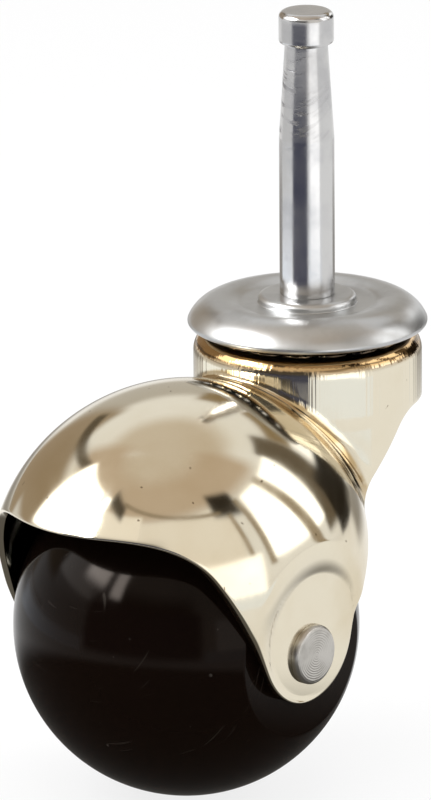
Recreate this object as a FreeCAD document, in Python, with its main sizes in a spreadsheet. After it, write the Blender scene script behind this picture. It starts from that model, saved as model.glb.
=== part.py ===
"""Ball castor on a grip-neck stem: drawn hood, ball race, axle pin and ball wheel.

The frame has its origin on the stem axis at the top of the flange boss, +Z up the
stem, the wheel trailing towards -X and the axle along Y. All sizes are in mm.
"""

import os
from math import atan2, cos, hypot, pi, radians, sin, sqrt, tan

import FreeCAD
import Part
import Sketcher

VECTOR = FreeCAD.Vector

# Driving sizes: name, value, meaning
SIZES = [
    ("stem_dia", 8.0, "straight body of the stem"),
    ("stem_rise", 42.2, "top of the stem head above the flange boss"),
    ("head_height", 4.8, "height of the stem head"),
    ("head_round", 1.0, "rounding of the top of the stem head"),
    ("head_under_round", 0.55, "rounding of the lower edge of the stem head"),
    ("grip_dia", 6.2, "thinnest part of the grip neck, just under the head"),
    ("grip_height", 14.0, "height of the tapered grip neck"),
    ("shank_dia", 7.0, "stem below its shoulder, through the swivel"),
    ("rivet_dia", 11.2, "riveted lower end of the stem"),
    ("rivet_height", 2.0, "height of the riveted end"),
    ("rivet_round", 0.9, "rounding of the riveted end"),
    ("flange_overhang", 1.0, "rim of the flange beyond the neck of the hood"),
    ("flange_sheet", 1.5, "thickness of the flange"),
    ("flange_drop", 3.8, "from the crest of the flange down to its rim"),
    ("crest_drop", 0.55, "from the boss down to the crest of the flange"),
    ("valley_drop", 1.25, "from the boss down to the valley of the flange"),
    ("boss_dia", 14.4, "outside of the raised boss of the flange"),
    ("boss_round", 0.9, "rounding of the boss"),
    ("valley_round", 2.4, "blend from the valley up to the crest"),
    ("rim_round", 0.6, "rounding of the rim of the flange"),
    ("press_clearance", 0.02, "shank in the holes of the pieces fixed on it"),
    ("bearing_gap", 0.377, "gap between two bearing balls"),
    ("race_inset", 4.1, "middles of the bearing balls inside the neck of the hood"),
    ("race_depth", 1.45, "depth of the race in the crown of the hood"),
    ("race_clearance", 0.05, "bearing ball to race"),
    ("hood_sheet", 1.3, "thickness of the hood"),
    ("neck_dia", 33.2, "outside of the neck of the hood"),
    ("crown_round", 3.2, "rounding between the crown and the neck"),
    ("crease_front", 1.1, "blend from the neck to the dome, at the front"),
    ("crease_side", 3.2, "blend from the neck to the dome, at the sides"),
    ("swivel_clearance", 0.08, "shank in the hole of the crown"),
    ("washer_dia", 17.0, "swivel washer"),
    ("washer_sheet", 1.5, "thickness of the swivel washer"),
    ("washer_clearance", 0.15, "crown to swivel washer"),
    ("washer_round", 0.3, "edge rounding of the swivel washer"),
    ("trail", 27.5, "stem axis to axle"),
    ("axle_drop", 43.4, "flange boss down to the axle"),
    ("wheel_dia", 50.0, "ball wheel"),
    ("wheel_flat_dia", 25.17, "flat sides of the ball wheel"),
    ("wheel_edge_round", 0.9, "edge of the flat sides of the ball wheel"),
    ("hub_dia", 13.0, "hub face of the ball wheel"),
    ("hub_height", 0.3, "hub face beyond the flat side"),
    ("hub_gap", 0.2, "hub face to ear"),
    ("bore_clearance", 0.06, "axle in the bore of the ball wheel"),
    ("dome_over", 1.3, "half height of the inside of the dome beyond the ball wheel"),
    ("dome_along", 3.9, "half length of the inside of the dome beyond the ball wheel"),
    ("dome_ahead", 1.3, "middle of the dome ahead of the axle"),
    ("dome_rise", 8.35, "middle of the dome above the axle"),
    ("dome_bulge", 2.2, "half width of the dome beyond the flat of the ear"),
    ("pad_dia", 17.8, "flat of the ear round the axle"),
    ("pad_rise", 2.4, "middle of the flat above the axle"),
    ("pad_back", 0.6, "middle of the flat behind the axle"),
    ("pad_slope", 35.0, "slope from the ear out to the dome, degrees"),
    ("pad_blend", 2.5, "blend from the flat of the ear to that slope"),
    ("pad_crest", 2.2, "rounding where that slope meets the dome"),
    ("lip_rise", 20.2, "front lip of the hood above the axle"),
    ("brow_radius", 11.0, "corner between the front lip and the ear"),
    ("ear_radius", 10.3, "rounded end of the ear"),
    ("ear_rise", 3.2, "middle of that rounding above the axle"),
    ("ear_ahead", 0.3, "middle of that rounding ahead of the axle"),
    ("ear_front_angle", 63.0, "front edge of the ear above the level, degrees"),
    ("ear_rear_angle", 75.0, "rear edge of the ear above the level, degrees"),
    ("hip_radius", 6.0, "corner between the ear and the slanting edge behind it"),
    ("slant_angle", 51.0, "slanting edge above the level, degrees"),
    ("throat_radius", 6.0, "corner between the slanting edge and the neck"),
    ("throat_back", 2.6, "that corner behind the stem axis"),
    ("neck_wall", 10.1, "height of the neck at the rear"),
    ("axle_dia", 6.35, "axle"),
    ("axle_head_dia", 8.7, "heads of the axle"),
    ("axle_head_height", 1.1, "height of each head"),
    ("axle_head_round", 0.35, "edge of each head"),
    ("hole_clearance", 0.05, "axle in the holes of the ears"),
]

# Balls in the full ring of the swivel
BEARING_COUNT = 16

# Levels and places that follow from the sizes
FLANGE_DIA = "(sizes.neck_dia + 2 * sizes.flange_overhang)"
RACE_DIA = "(sizes.neck_dia - 2 * sizes.race_inset)"
BEARING_DIA = f"({RACE_DIA} * sin(180 deg / {BEARING_COUNT}) - sizes.bearing_gap)"
FLANGE_UNDER = "-(sizes.crest_drop + sizes.flange_sheet)"
RACE_MIDDLE = f"({FLANGE_UNDER} - sizes.race_clearance - {BEARING_DIA} / 2)"
RACE_SECTION = f"({BEARING_DIA} / 2 + sizes.race_clearance)"
CROWN_TOP = f"({RACE_MIDDLE} - {RACE_SECTION} + sizes.race_depth)"
WASHER_TOP = f"({CROWN_TOP} - sizes.hood_sheet - sizes.washer_clearance)"
WASHER_BASE = f"({WASHER_TOP} - sizes.washer_sheet)"
RIVET_BASE = f"({WASHER_BASE} - sizes.rivet_height)"
CREST_REACH = f"({FLANGE_DIA} / 2 - {RACE_DIA} / 2)"
CREST_RADIUS = (
    f"(({CREST_REACH}^2 + sizes.flange_drop^2) / (2 * sizes.flange_drop))"
)
CREST_MIDDLE = f"(-sizes.crest_drop - {CREST_RADIUS})"
RIM_LEVEL = "(-sizes.crest_drop - sizes.flange_drop)"
DOME_HEIGHT = "(sizes.wheel_dia / 2 + sizes.dome_over + sizes.hood_sheet)"
DOME_LENGTH = "(sizes.wheel_dia / 2 + sizes.dome_along + sizes.hood_sheet)"
DOME_PLACE = "(-sizes.dome_ahead - sizes.trail)"
DOME_LEVEL = "(sizes.dome_rise - sizes.axle_drop)"
SKIRT_BASE = "(-sizes.axle_drop - sizes.ear_radius * 1.7)"
EAR_PLACE = "(-sizes.ear_ahead - sizes.trail)"
EAR_LEVEL = "(sizes.ear_rise - sizes.axle_drop)"
NECK_BASE = f"({DOME_LEVEL} - sizes.hood_sheet * 2)"
PAD_PLACE = "(sizes.pad_back - sizes.trail)"
PAD_LEVEL = "(sizes.pad_rise - sizes.axle_drop)"
SIDE_GAP = "(sizes.hub_height + sizes.hub_gap)"
WHEEL_SIDE = "sqrt((sizes.wheel_dia / 2)^2 - (sizes.wheel_flat_dia / 2)^2)"
EAR_FACE = f"({WHEEL_SIDE} + {SIDE_GAP} + sizes.hood_sheet)"
AXLE_END = f"({EAR_FACE} + sizes.axle_head_height)"


def make_sheet(document):
    """Return the spreadsheet that holds the driving sizes under their names."""
    sheet = document.addObject("Spreadsheet::Sheet", "sizes")
    for row, (alias, value, meaning) in enumerate(SIZES, start=1):
        sheet.set(f"A{row}", str(value))
        sheet.set(f"B{row}", meaning)
        sheet.setAlias(f"A{row}", alias)
    document.recompute()
    return sheet


DOCUMENT = FreeCAD.newDocument("ball_castor")
SHEET = make_sheet(DOCUMENT)


def amount(expression):
    """Return the value of an expression over the sizes."""
    return float(SHEET.evalExpression(expression.replace("sizes.", "")))


def bind(thing, prop, expression):
    """Tie a property of a feature to an expression over the sizes."""
    thing.setExpression(prop, expression)


def make_body(name):
    """Return a new empty body."""
    return DOCUMENT.addObject("PartDesign::Body", name)


def make_sketch(body, name, plane, place=("0", "0", "0")):
    """Return a sketch on a base plane of a body, its origin moved by three expressions."""
    sketch = body.newObject("Sketcher::SketchObject", name)
    features = body.Origin.OriginFeatures
    sketch.AttachmentSupport = [(next(f for f in features if f.Role == plane), "")]
    sketch.MapMode = "FlatFace"
    for letter, expression in zip("xyz", place):
        bind(sketch, f"AttachmentOffset.Base.{letter}", expression)
    return sketch


def arc_middle(start, end, radius, turn):
    """Return the centre of an arc from start to end; turn is 1 for leftward, -1 for rightward."""
    half = (end - start) * 0.5
    rise = sqrt(max(radius**2 - half.Length**2, 0.0))
    across = VECTOR(-half.y, half.x, 0).normalize()
    return start + half + across * (rise * turn)


def draw_loop(sketch, corners):
    """Draw one closed outline.

    Each corner is (x, y) or (x, y, radius, turn) in expressions; a radius makes the
    piece that leaves the corner an arc that is less than a half turn.
    """
    points = [VECTOR(amount(c[0]), amount(c[1]), 0) for c in corners]
    pieces = []
    for k, corner in enumerate(corners):
        start = points[k]
        end = points[(k + 1) % len(points)]
        if len(corner) == 2:
            index = sketch.addGeometry(Part.LineSegment(start, end))
            pieces.append((index, 1, 2))
            continue
        radius = amount(corner[2])
        turn = corner[3]
        middle = arc_middle(start, end, radius, turn)
        halfway = (start + end) * 0.5 - middle
        crown = middle + halfway.normalize() * radius
        index = sketch.addGeometry(Part.Arc(start, crown, end))
        pieces.append((index, 1, 2) if turn > 0 else (index, 2, 1))
        size = sketch.addConstraint(Sketcher.Constraint("Radius", index, radius))
        bind(sketch, f"Constraints[{size}]", corner[2])
    for k, corner in enumerate(corners):
        index, first, _ = pieces[k]
        before, _, last = pieces[k - 1]
        sketch.addConstraint(Sketcher.Constraint("Coincident", before, last, index, first))
        for kind, value, expression in (
            ("DistanceX", points[k].x, corner[0]),
            ("DistanceY", points[k].y, corner[1]),
        ):
            size = sketch.addConstraint(Sketcher.Constraint(kind, -1, 1, index, first, value))
            bind(sketch, f"Constraints[{size}]", expression)


def turn_round(body, kind, sketch, name, axis="V_Axis"):
    """Turn a sketch a full turn about one of its own axes."""
    feature = body.newObject(f"PartDesign::{kind}", name)
    feature.Profile = sketch
    feature.ReferenceAxis = (sketch, [axis])
    feature.Angle = 360.0
    body.Tip = feature
    DOCUMENT.recompute()
    return feature


def edge_middle(edge):
    """Return the point halfway along an edge."""
    return edge.valueAt((edge.FirstParameter + edge.LastParameter) / 2)


def find_edges(shape, wanted):
    """Return the names of the edges whose middle point passes the test."""
    names = []
    for number, edge in enumerate(shape.Edges, start=1):
        if edge.Length < 1e-4 or edge.Degenerated:
            continue
        if wanted(edge, edge_middle(edge)):
            names.append(f"Edge{number}")
    return names


def round_edges(body, name, radius, wanted):
    """Round the edges of a body's last feature that pass a test."""
    base = body.Tip
    fillet = body.newObject("PartDesign::Fillet", name)
    fillet.Base = (base, find_edges(base.Shape, wanted))
    bind(fillet, "Radius", radius)
    body.Tip = fillet
    DOCUMENT.recompute()
    return fillet


def ring_at(radius, level):
    """Return a test for round edges about the stem axis at a radius and a level."""
    wide = amount(radius)
    high = amount(level)

    def wanted(edge, middle):
        return abs(hypot(middle.x, middle.y) - wide) < 0.02 and abs(middle.z - high) < 0.02

    return wanted


def axle_ring_at(radius, reach):
    """Return a test for round edges about the axle at a radius and a distance to either side."""
    wide = amount(radius)
    out = amount(reach)
    across = -amount("sizes.trail")
    down = -amount("sizes.axle_drop")

    def wanted(edge, middle):
        far = hypot(middle.x - across, middle.z - down)
        return abs(far - wide) < 0.02 and abs(abs(middle.y) - out) < 0.02

    return wanted


def build_stem():
    """Grip-neck stem, its shank through the swivel and its riveted lower end."""
    body = make_body("stem")
    sketch = make_sketch(body, "stem_profile", "XZ_Plane")
    head_base = "sizes.stem_rise - sizes.head_height"
    draw_loop(
        sketch,
        [
            ("0", RIVET_BASE),
            ("sizes.rivet_dia / 2", RIVET_BASE),
            ("sizes.rivet_dia / 2", WASHER_BASE),
            ("sizes.shank_dia / 2", WASHER_BASE),
            ("sizes.shank_dia / 2", "0"),
            ("sizes.stem_dia / 2", "0"),
            ("sizes.stem_dia / 2", f"{head_base} - sizes.grip_height"),
            ("sizes.grip_dia / 2", head_base),
            ("sizes.stem_dia / 2", head_base),
            ("sizes.stem_dia / 2", "sizes.stem_rise"),
            ("0", "sizes.stem_rise"),
        ],
    )
    turn_round(body, "Revolution", sketch, "stem_turned")
    round_edges(
        body, "head_top", "sizes.head_round", ring_at("sizes.stem_dia / 2", "sizes.stem_rise")
    )
    round_edges(
        body, "head_under", "sizes.head_under_round", ring_at("sizes.stem_dia / 2", head_base)
    )
    round_edges(body, "rivet_end", "sizes.rivet_round", ring_at("sizes.rivet_dia / 2", RIVET_BASE))
    return body


def build_flange():
    """Pressed flange: boss, valley, crest and turned-down rim of one thickness."""
    body = make_body("flange_washer")
    sketch = make_sketch(body, "flange_profile", "XZ_Plane")
    hole = "sizes.shank_dia / 2 + sizes.press_clearance"
    valley = "(-sizes.valley_drop)"
    under = "(-sizes.valley_drop - sizes.flange_sheet)"
    inner_radius = f"({CREST_RADIUS} - sizes.flange_sheet)"
    foot = f"({RACE_DIA} / 2 - sqrt({CREST_RADIUS}^2 - ({valley} - {CREST_MIDDLE})^2))"
    inner_foot = f"({RACE_DIA} / 2 - sqrt({inner_radius}^2 - ({under} - {CREST_MIDDLE})^2))"
    share = f"({inner_radius} / {CREST_RADIUS})"
    rim = f"({RACE_DIA} / 2 + {CREST_REACH} * {share})"
    rim_level = f"({CREST_MIDDLE} + ({RIM_LEVEL} - {CREST_MIDDLE}) * {share})"
    recess = "(sizes.boss_dia / 2 - sizes.flange_sheet)"
    draw_loop(
        sketch,
        [
            (hole, "-sizes.flange_sheet"),
            (recess, "-sizes.flange_sheet"),
            (recess, under),
            (inner_foot, under, inner_radius, -1),
            (rim, rim_level),
            (f"{FLANGE_DIA} / 2", RIM_LEVEL, CREST_RADIUS, 1),
            (foot, valley),
            ("sizes.boss_dia / 2", valley),
            ("sizes.boss_dia / 2", "0"),
            (hole, "0"),
        ],
    )
    turn_round(body, "Revolution", sketch, "flange_pressed")
    round_edges(body, "boss_edge", "sizes.boss_round", ring_at("sizes.boss_dia / 2", "0"))
    round_edges(body, "valley_blend", "sizes.valley_round", ring_at(foot, valley))
    round_edges(body, "rim_edge", "sizes.rim_round", ring_at(f"{FLANGE_DIA} / 2", RIM_LEVEL))
    return body


def build_bearing_balls():
    """One full ring of balls between the flange and the crown."""
    balls = []
    for number in range(1, BEARING_COUNT + 1):
        ball = DOCUMENT.addObject("Part::Sphere", f"bearing_ball_{number:02d}")
        angle = 360.0 * (number - 0.5) / BEARING_COUNT
        bind(ball, "Radius", f"{BEARING_DIA} / 2")
        bind(ball, "Placement.Base.x", f"{RACE_DIA} / 2 * cos({angle} deg)")
        bind(ball, "Placement.Base.y", f"{RACE_DIA} / 2 * sin({angle} deg)")
        bind(ball, "Placement.Base.z", RACE_MIDDLE)
        balls.append(ball)
    DOCUMENT.recompute()
    return balls


def build_swivel_washer():
    """Washer under the crown, carried on the riveted end of the stem."""
    body = make_body("swivel_washer")
    sketch = make_sketch(body, "washer_profile", "XZ_Plane")
    hole = "sizes.shank_dia / 2 + sizes.press_clearance"
    draw_loop(
        sketch,
        [
            (hole, WASHER_BASE),
            ("sizes.washer_dia / 2", WASHER_BASE),
            ("sizes.washer_dia / 2", WASHER_TOP),
            (hole, WASHER_TOP),
        ],
    )
    turn_round(body, "Revolution", sketch, "washer_blank")
    for name, level in (("washer_lower_edge", WASHER_BASE), ("washer_upper_edge", WASHER_TOP)):
        round_edges(body, name, "sizes.washer_round", ring_at("sizes.washer_dia / 2", level))
    return body


def build_axle():
    """Axle with a head against the outer face of each ear."""
    body = make_body("axle_pin")
    place = ("-sizes.trail", "0", "-sizes.axle_drop")
    sketch = make_sketch(body, "axle_profile", "XY_Plane", place)
    shaft = "sizes.axle_dia / 2"
    head = "sizes.axle_head_dia / 2"
    draw_loop(
        sketch,
        [
            ("0", f"-{AXLE_END}"),
            (head, f"-{AXLE_END}"),
            (head, f"-{EAR_FACE}"),
            (shaft, f"-{EAR_FACE}"),
            (shaft, EAR_FACE),
            (head, EAR_FACE),
            (head, AXLE_END),
            ("0", AXLE_END),
        ],
    )
    turn_round(body, "Revolution", sketch, "axle_turned")
    round_edges(body, "axle_heads", "sizes.axle_head_round", axle_ring_at(head, AXLE_END))
    return body


def build_wheel():
    """Ball wheel with two flat sides, a hub face on each and a bore."""
    body = make_body("ball_wheel")
    place = ("-sizes.trail", "0", "-sizes.axle_drop")
    sketch = make_sketch(body, "wheel_profile", "XY_Plane", place)
    bore = "sizes.axle_dia / 2 + sizes.bore_clearance"
    hub = "sizes.hub_dia / 2"
    hub_face = f"({WHEEL_SIDE} + sizes.hub_height)"
    flat = "sizes.wheel_flat_dia / 2"
    draw_loop(
        sketch,
        [
            (bore, f"-{hub_face}"),
            (hub, f"-{hub_face}"),
            (hub, f"-{WHEEL_SIDE}"),
            (flat, f"-{WHEEL_SIDE}", "sizes.wheel_dia / 2", 1),
            (flat, WHEEL_SIDE),
            (hub, WHEEL_SIDE),
            (hub, hub_face),
            (bore, hub_face),
        ],
    )
    turn_round(body, "Revolution", sketch, "wheel_moulded")
    round_edges(body, "wheel_edges", "sizes.wheel_edge_round", axle_ring_at(flat, WHEEL_SIDE))
    return body


def build_dome(name, inset):
    """Dome and skirt of a form: turned at its length, then flattened to an oval."""
    body = make_body(f"{name}_round")
    length = f"({DOME_LENGTH} - {inset})"
    lower = f"(({DOME_HEIGHT} - {inset}) / {length})"
    narrower = f"(({EAR_FACE} + sizes.dome_bulge - {inset}) / {length})"
    middle = f"({DOME_LEVEL} / {lower})"
    base = f"({SKIRT_BASE} / {lower})"
    sketch = make_sketch(body, f"{name}_dome_profile", "XZ_Plane", (DOME_PLACE, "0", "0"))
    draw_loop(
        sketch,
        [
            ("0", f"{middle} + {length}", length, 1),
            (f"-{length}", middle),
            (f"-{length}", base),
            ("0", base),
        ],
    )
    turn_round(body, "Revolution", sketch, f"{name}_dome")
    flattened = DOCUMENT.addObject("Part::Scale", f"{name}_flattened")
    flattened.Base = body
    flattened.Uniform = False
    bind(flattened, "YScale", narrower)
    bind(flattened, "ZScale", lower)
    DOCUMENT.recompute()
    return flattened


def build_form(name, inset):
    """Solid form of the hood, drawn in from the outside by an inset.

    The dome and its skirt, the neck and the two pressed-in ears are one solid. The
    hood is the sheet between the form with no inset and the form one sheet inside it.
    """
    run = f"({DOME_LENGTH} / 2)"
    neck = f"(sizes.neck_dia / 2 - {inset})"
    crown = f"({CROWN_TOP} - {inset})"
    face = f"({EAR_FACE} - {inset})"
    blend = f"(sizes.pad_blend + {inset})"

    body = make_body(name)
    body.BaseFeature = build_dome(name, inset)
    DOCUMENT.recompute()

    tube = make_sketch(body, f"{name}_neck_profile", "XZ_Plane")
    draw_loop(
        tube,
        [("0", NECK_BASE), ("0", crown), (f"-{neck}", crown), (f"-{neck}", NECK_BASE)],
    )
    turn_round(body, "Revolution", tube, f"{name}_neck")

    pads = make_sketch(body, f"{name}_pad_profile", "YZ_Plane", ("0", PAD_LEVEL, PAD_PLACE))
    flat = "sizes.pad_dia / 2"
    turned = "sizes.pad_slope * 1 deg"
    foot = f"{flat} + {blend} * sin({turned})"
    foot_rise = f"{blend} * (1 - cos({turned}))"
    reach = f"{foot} + {run}"
    reach_rise = f"({foot_rise} + {run} * tan({turned}))"
    for sign, way in (("", 1), ("-", -1)):
        draw_loop(
            pads,
            [
                (f"{sign}{face}", "0"),
                (f"{sign}{face}", f"-{flat}", blend, way),
                (f"{sign}({face} + {foot_rise})", f"-({foot})"),
                (f"{sign}({face} + {reach_rise})", f"-({reach})"),
                (f"{sign}({face} + {reach_rise})", "0"),
            ],
        )
    turn_round(body, "Groove", pads, f"{name}_pads", "H_Axis")

    across = amount(PAD_PLACE)
    down = amount(PAD_LEVEL)
    inner = amount(foot)
    beyond = amount(face)

    def on_pad_crest(edge, middle):
        away = hypot(middle.x - across, middle.z - down)
        curved = edge.Curve.TypeId == "Part::GeomBSplineCurve"
        return curved and away > inner and abs(middle.y) > beyond

    round_edges(body, f"{name}_pad_crest", f"(sizes.pad_crest - {inset})", on_pad_crest)
    round_edges(body, f"{name}_crown_edge", f"(sizes.crown_round - {inset})", ring_at(neck, crown))

    return blend_crease(body, name, amount(neck), amount(inset))


def blend_crease(body, name, neck, inset):
    """Blend the neck into the dome: tight at the front, wider down the sides."""
    shape = body.Shape
    front = amount("sizes.crease_front") + inset
    side = amount("sizes.crease_side") + inset
    crease = []
    for number, edge in enumerate(shape.Edges, start=1):
        if edge.Length < 1e-4 or edge.Degenerated:
            continue
        on_neck = all(abs(hypot(v.X, v.Y) - neck) < 0.02 for v in edge.Vertexes)
        middle = edge_middle(edge)
        aside = abs(hypot(middle.x, middle.y) - neck) < 0.02 and abs(middle.y) > 1.0
        round_edge = edge.Curve.TypeId == "Part::GeomCircle"
        if not (on_neck and aside) or round_edge:
            continue
        ends = [front if abs(v.Y) < 0.01 else side for v in edge.Vertexes]
        crease.append((number, ends[0], ends[1]))
    blended = DOCUMENT.addObject("Part::Fillet", f"{name}_blended")
    blended.Base = body
    blended.Edges = crease
    DOCUMENT.recompute()
    return blended


def build_outline():
    """Side outline of the hood as a block across its whole width."""
    body = make_body("hood_outline")
    sketch = make_sketch(body, "outline_profile", "XZ_Plane")
    lip = amount("sizes.lip_rise - sizes.axle_drop")
    ear = VECTOR(amount(EAR_PLACE), amount(EAR_LEVEL), 0)
    ear_radius = amount("sizes.ear_radius")
    front = radians(amount("sizes.ear_front_angle"))
    rear = radians(amount("sizes.ear_rear_angle"))
    slant = radians(amount("sizes.slant_angle"))
    brow_radius = amount("sizes.brow_radius")
    hip_radius = amount("sizes.hip_radius")
    throat_radius = amount("sizes.throat_radius")
    top = amount(CROWN_TOP) + 2.0
    left = amount(DOME_PLACE) - amount(DOME_LENGTH) - 8.0
    right = amount("sizes.neck_dia / 2") + 2.0
    neck_end = amount(f"{CROWN_TOP} - sizes.neck_wall")
    level_way = VECTOR(1, 0, 0)

    # Where the straight edges of the ear leave its rounded end
    front_way = VECTOR(cos(front), -sin(front), 0)
    front_touch = ear + VECTOR(-sin(front), -cos(front), 0) * ear_radius
    rear_way = VECTOR(cos(rear), sin(rear), 0)
    rear_touch = ear + VECTOR(sin(rear), -cos(rear), 0) * ear_radius

    # Corner of the front lip and the ear
    brow = front_touch - front_way * ((lip - front_touch.y) / sin(front))
    brow_run = brow_radius * tan(front / 2)
    brow_start = brow - level_way * brow_run
    brow_end = brow + front_way * brow_run
    brow_middle = brow_start - VECTOR(0, brow_radius, 0)

    # Corner of the slanting edge and the neck
    slant_way = VECTOR(cos(slant), sin(slant), 0)
    throat = VECTOR(amount("sizes.throat_back"), neck_end, 0)
    throat_run = throat_radius * tan(slant / 2)
    throat_start = throat - slant_way * throat_run
    throat_end = throat + level_way * throat_run
    throat_middle = throat_end - VECTOR(0, throat_radius, 0)

    # Corner of the ear and the slanting edge
    gap = throat - rear_touch
    cross = rear_way.x * slant_way.y - rear_way.y * slant_way.x
    hip = rear_touch + rear_way * ((gap.x * slant_way.y - gap.y * slant_way.x) / cross)
    hip_run = hip_radius * tan((rear - slant) / 2)
    hip_start = hip - rear_way * hip_run
    hip_end = hip + slant_way * hip_run
    hip_middle = hip_start + VECTOR(sin(rear), -cos(rear), 0) * hip_radius

    def line(start, finish):
        return sketch.addGeometry(Part.LineSegment(start, finish))

    def arc(middle, start, finish):
        radius = (start - middle).Length
        circle = Part.Circle(middle, VECTOR(0, 0, 1), radius)
        low = atan2(start.y - middle.y, start.x - middle.x)
        high = atan2(finish.y - middle.y, finish.x - middle.x)
        if high < low:
            high += 2 * pi
        return sketch.addGeometry(Part.ArcOfCircle(circle, low, high))

    front_wall = line(VECTOR(left, top, 0), VECTOR(left, lip, 0))
    lip_line = line(VECTOR(left, lip, 0), brow_start)
    brow_arc = arc(brow_middle, brow_end, brow_start)
    front_line = line(brow_end, front_touch)
    ear_arc = arc(ear, front_touch, rear_touch)
    rear_line = line(rear_touch, hip_start)
    hip_arc = arc(hip_middle, hip_end, hip_start)
    slant_line = line(hip_end, throat_start)
    throat_arc = arc(throat_middle, throat_end, throat_start)
    neck_line = line(throat_end, VECTOR(right, neck_end, 0))
    back_wall = line(VECTOR(right, neck_end, 0), VECTOR(right, top, 0))
    top_line = line(VECTOR(right, top, 0), VECTOR(left, top, 0))

    for joint in (
        (front_wall, 2, lip_line, 1),
        (neck_line, 2, back_wall, 1),
        (back_wall, 2, top_line, 1),
        (top_line, 2, front_wall, 1),
    ):
        sketch.addConstraint(Sketcher.Constraint("Coincident", *joint))
    for joint in (
        (lip_line, 2, brow_arc, 2),
        (brow_arc, 1, front_line, 1),
        (front_line, 2, ear_arc, 1),
        (ear_arc, 2, rear_line, 1),
        (rear_line, 2, hip_arc, 2),
        (hip_arc, 1, slant_line, 1),
        (slant_line, 2, throat_arc, 2),
        (throat_arc, 1, neck_line, 1),
    ):
        sketch.addConstraint(Sketcher.Constraint("Tangent", *joint))
    for level in (lip_line, neck_line, top_line):
        sketch.addConstraint(Sketcher.Constraint("Horizontal", level))
    for upright in (front_wall, back_wall):
        sketch.addConstraint(Sketcher.Constraint("Vertical", upright))

    def size(expression, *what):
        index = sketch.addConstraint(Sketcher.Constraint(*what))
        bind(sketch, f"Constraints[{index}]", expression)

    size(f"{CROWN_TOP} + 2", "DistanceY", -1, 1, top_line, 1, top)
    size(f"{DOME_PLACE} - {DOME_LENGTH} - 8", "DistanceX", -1, 1, front_wall, 1, left)
    size("sizes.neck_dia / 2 + 2", "DistanceX", -1, 1, back_wall, 1, right)
    size("sizes.lip_rise - sizes.axle_drop", "DistanceY", -1, 1, lip_line, 1, lip)
    size("sizes.brow_radius", "Radius", brow_arc, brow_radius)
    size("sizes.ear_radius", "Radius", ear_arc, ear_radius)
    size(EAR_PLACE, "DistanceX", -1, 1, ear_arc, 3, ear.x)
    size(EAR_LEVEL, "DistanceY", -1, 1, ear_arc, 3, ear.y)
    size("-sizes.ear_front_angle", "Angle", front_line, -front)
    size("sizes.ear_rear_angle", "Angle", rear_line, rear)
    size("sizes.hip_radius", "Radius", hip_arc, hip_radius)
    size("sizes.slant_angle", "Angle", slant_line, slant)
    size("sizes.throat_radius", "Radius", throat_arc, throat_radius)
    size(f"{CROWN_TOP} - sizes.neck_wall", "DistanceY", -1, 1, neck_line, 1, neck_end)
    corner = "sizes.throat_back + sizes.throat_radius * tan(sizes.slant_angle / 2 * 1 deg)"
    size(corner, "DistanceX", -1, 1, neck_line, 1, throat_end.x)

    pad = body.newObject("PartDesign::Pad", "outline_block")
    pad.Profile = sketch
    pad.SideType = "Symmetric"
    bind(pad, "Length", f"2 * {DOME_LENGTH} + 4")
    body.Tip = pad
    DOCUMENT.recompute()
    return body


def build_hood():
    """One-piece drawn hood: sheet between two forms, cut to its outline and pierced."""
    outer = build_form("outer_form", "0")
    inner = build_form("inner_form", "sizes.hood_sheet")
    outline = build_outline()

    bead = DOCUMENT.addObject("Part::Torus", "bead_tool")
    bind(bead, "Radius1", f"{RACE_DIA} / 2")
    bind(bead, "Radius2", f"{RACE_SECTION} + sizes.hood_sheet")
    bind(bead, "Placement.Base.z", RACE_MIDDLE)
    beaded = DOCUMENT.addObject("Part::Cut", "inner_form_beaded")
    beaded.Base = inner
    beaded.Tool = bead

    sheet = DOCUMENT.addObject("Part::Cut", "hood_sheet_drawn")
    sheet.Base = outer
    sheet.Tool = beaded
    trimmed = DOCUMENT.addObject("Part::Common", "hood_trimmed")
    trimmed.Base = sheet
    trimmed.Tool = outline

    race = DOCUMENT.addObject("Part::Torus", "race_tool")
    bind(race, "Radius1", f"{RACE_DIA} / 2")
    bind(race, "Radius2", RACE_SECTION)
    bind(race, "Placement.Base.z", RACE_MIDDLE)
    raced = DOCUMENT.addObject("Part::Cut", "hood_raced")
    raced.Base = trimmed
    raced.Tool = race

    stem_hole = DOCUMENT.addObject("Part::Cylinder", "stem_hole_tool")
    bind(stem_hole, "Radius", "sizes.shank_dia / 2 + sizes.swivel_clearance")
    bind(stem_hole, "Height", "4 * sizes.hood_sheet")
    bind(stem_hole, "Placement.Base.z", f"{CROWN_TOP} - 2 * sizes.hood_sheet")
    pierced = DOCUMENT.addObject("Part::Cut", "hood_pierced")
    pierced.Base = raced
    pierced.Tool = stem_hole

    axle_hole = DOCUMENT.addObject("Part::Cylinder", "axle_hole_tool")
    axle_hole.Placement.Rotation = FreeCAD.Rotation(VECTOR(1, 0, 0), -90)
    bind(axle_hole, "Radius", "sizes.axle_dia / 2 + sizes.hole_clearance")
    bind(axle_hole, "Height", f"2 * {AXLE_END}")
    bind(axle_hole, "Placement.Base.x", "-sizes.trail")
    bind(axle_hole, "Placement.Base.y", f"-{AXLE_END}")
    bind(axle_hole, "Placement.Base.z", "-sizes.axle_drop")
    hood = DOCUMENT.addObject("Part::Cut", "hood")
    hood.Base = pierced
    hood.Tool = axle_hole
    DOCUMENT.recompute()
    return hood


def check_document():
    """Stop when any feature failed or has no valid shape."""
    for thing in DOCUMENT.Objects:
        if "Invalid" in thing.State or "Error" in thing.State:
            raise RuntimeError(f"{thing.Name} failed: {thing.State}")
        shape = getattr(thing, "Shape", None)
        if shape is not None and not shape.isNull() and not shape.isValid():
            raise RuntimeError(f"{thing.Name} has a shape that isn't valid")


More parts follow.
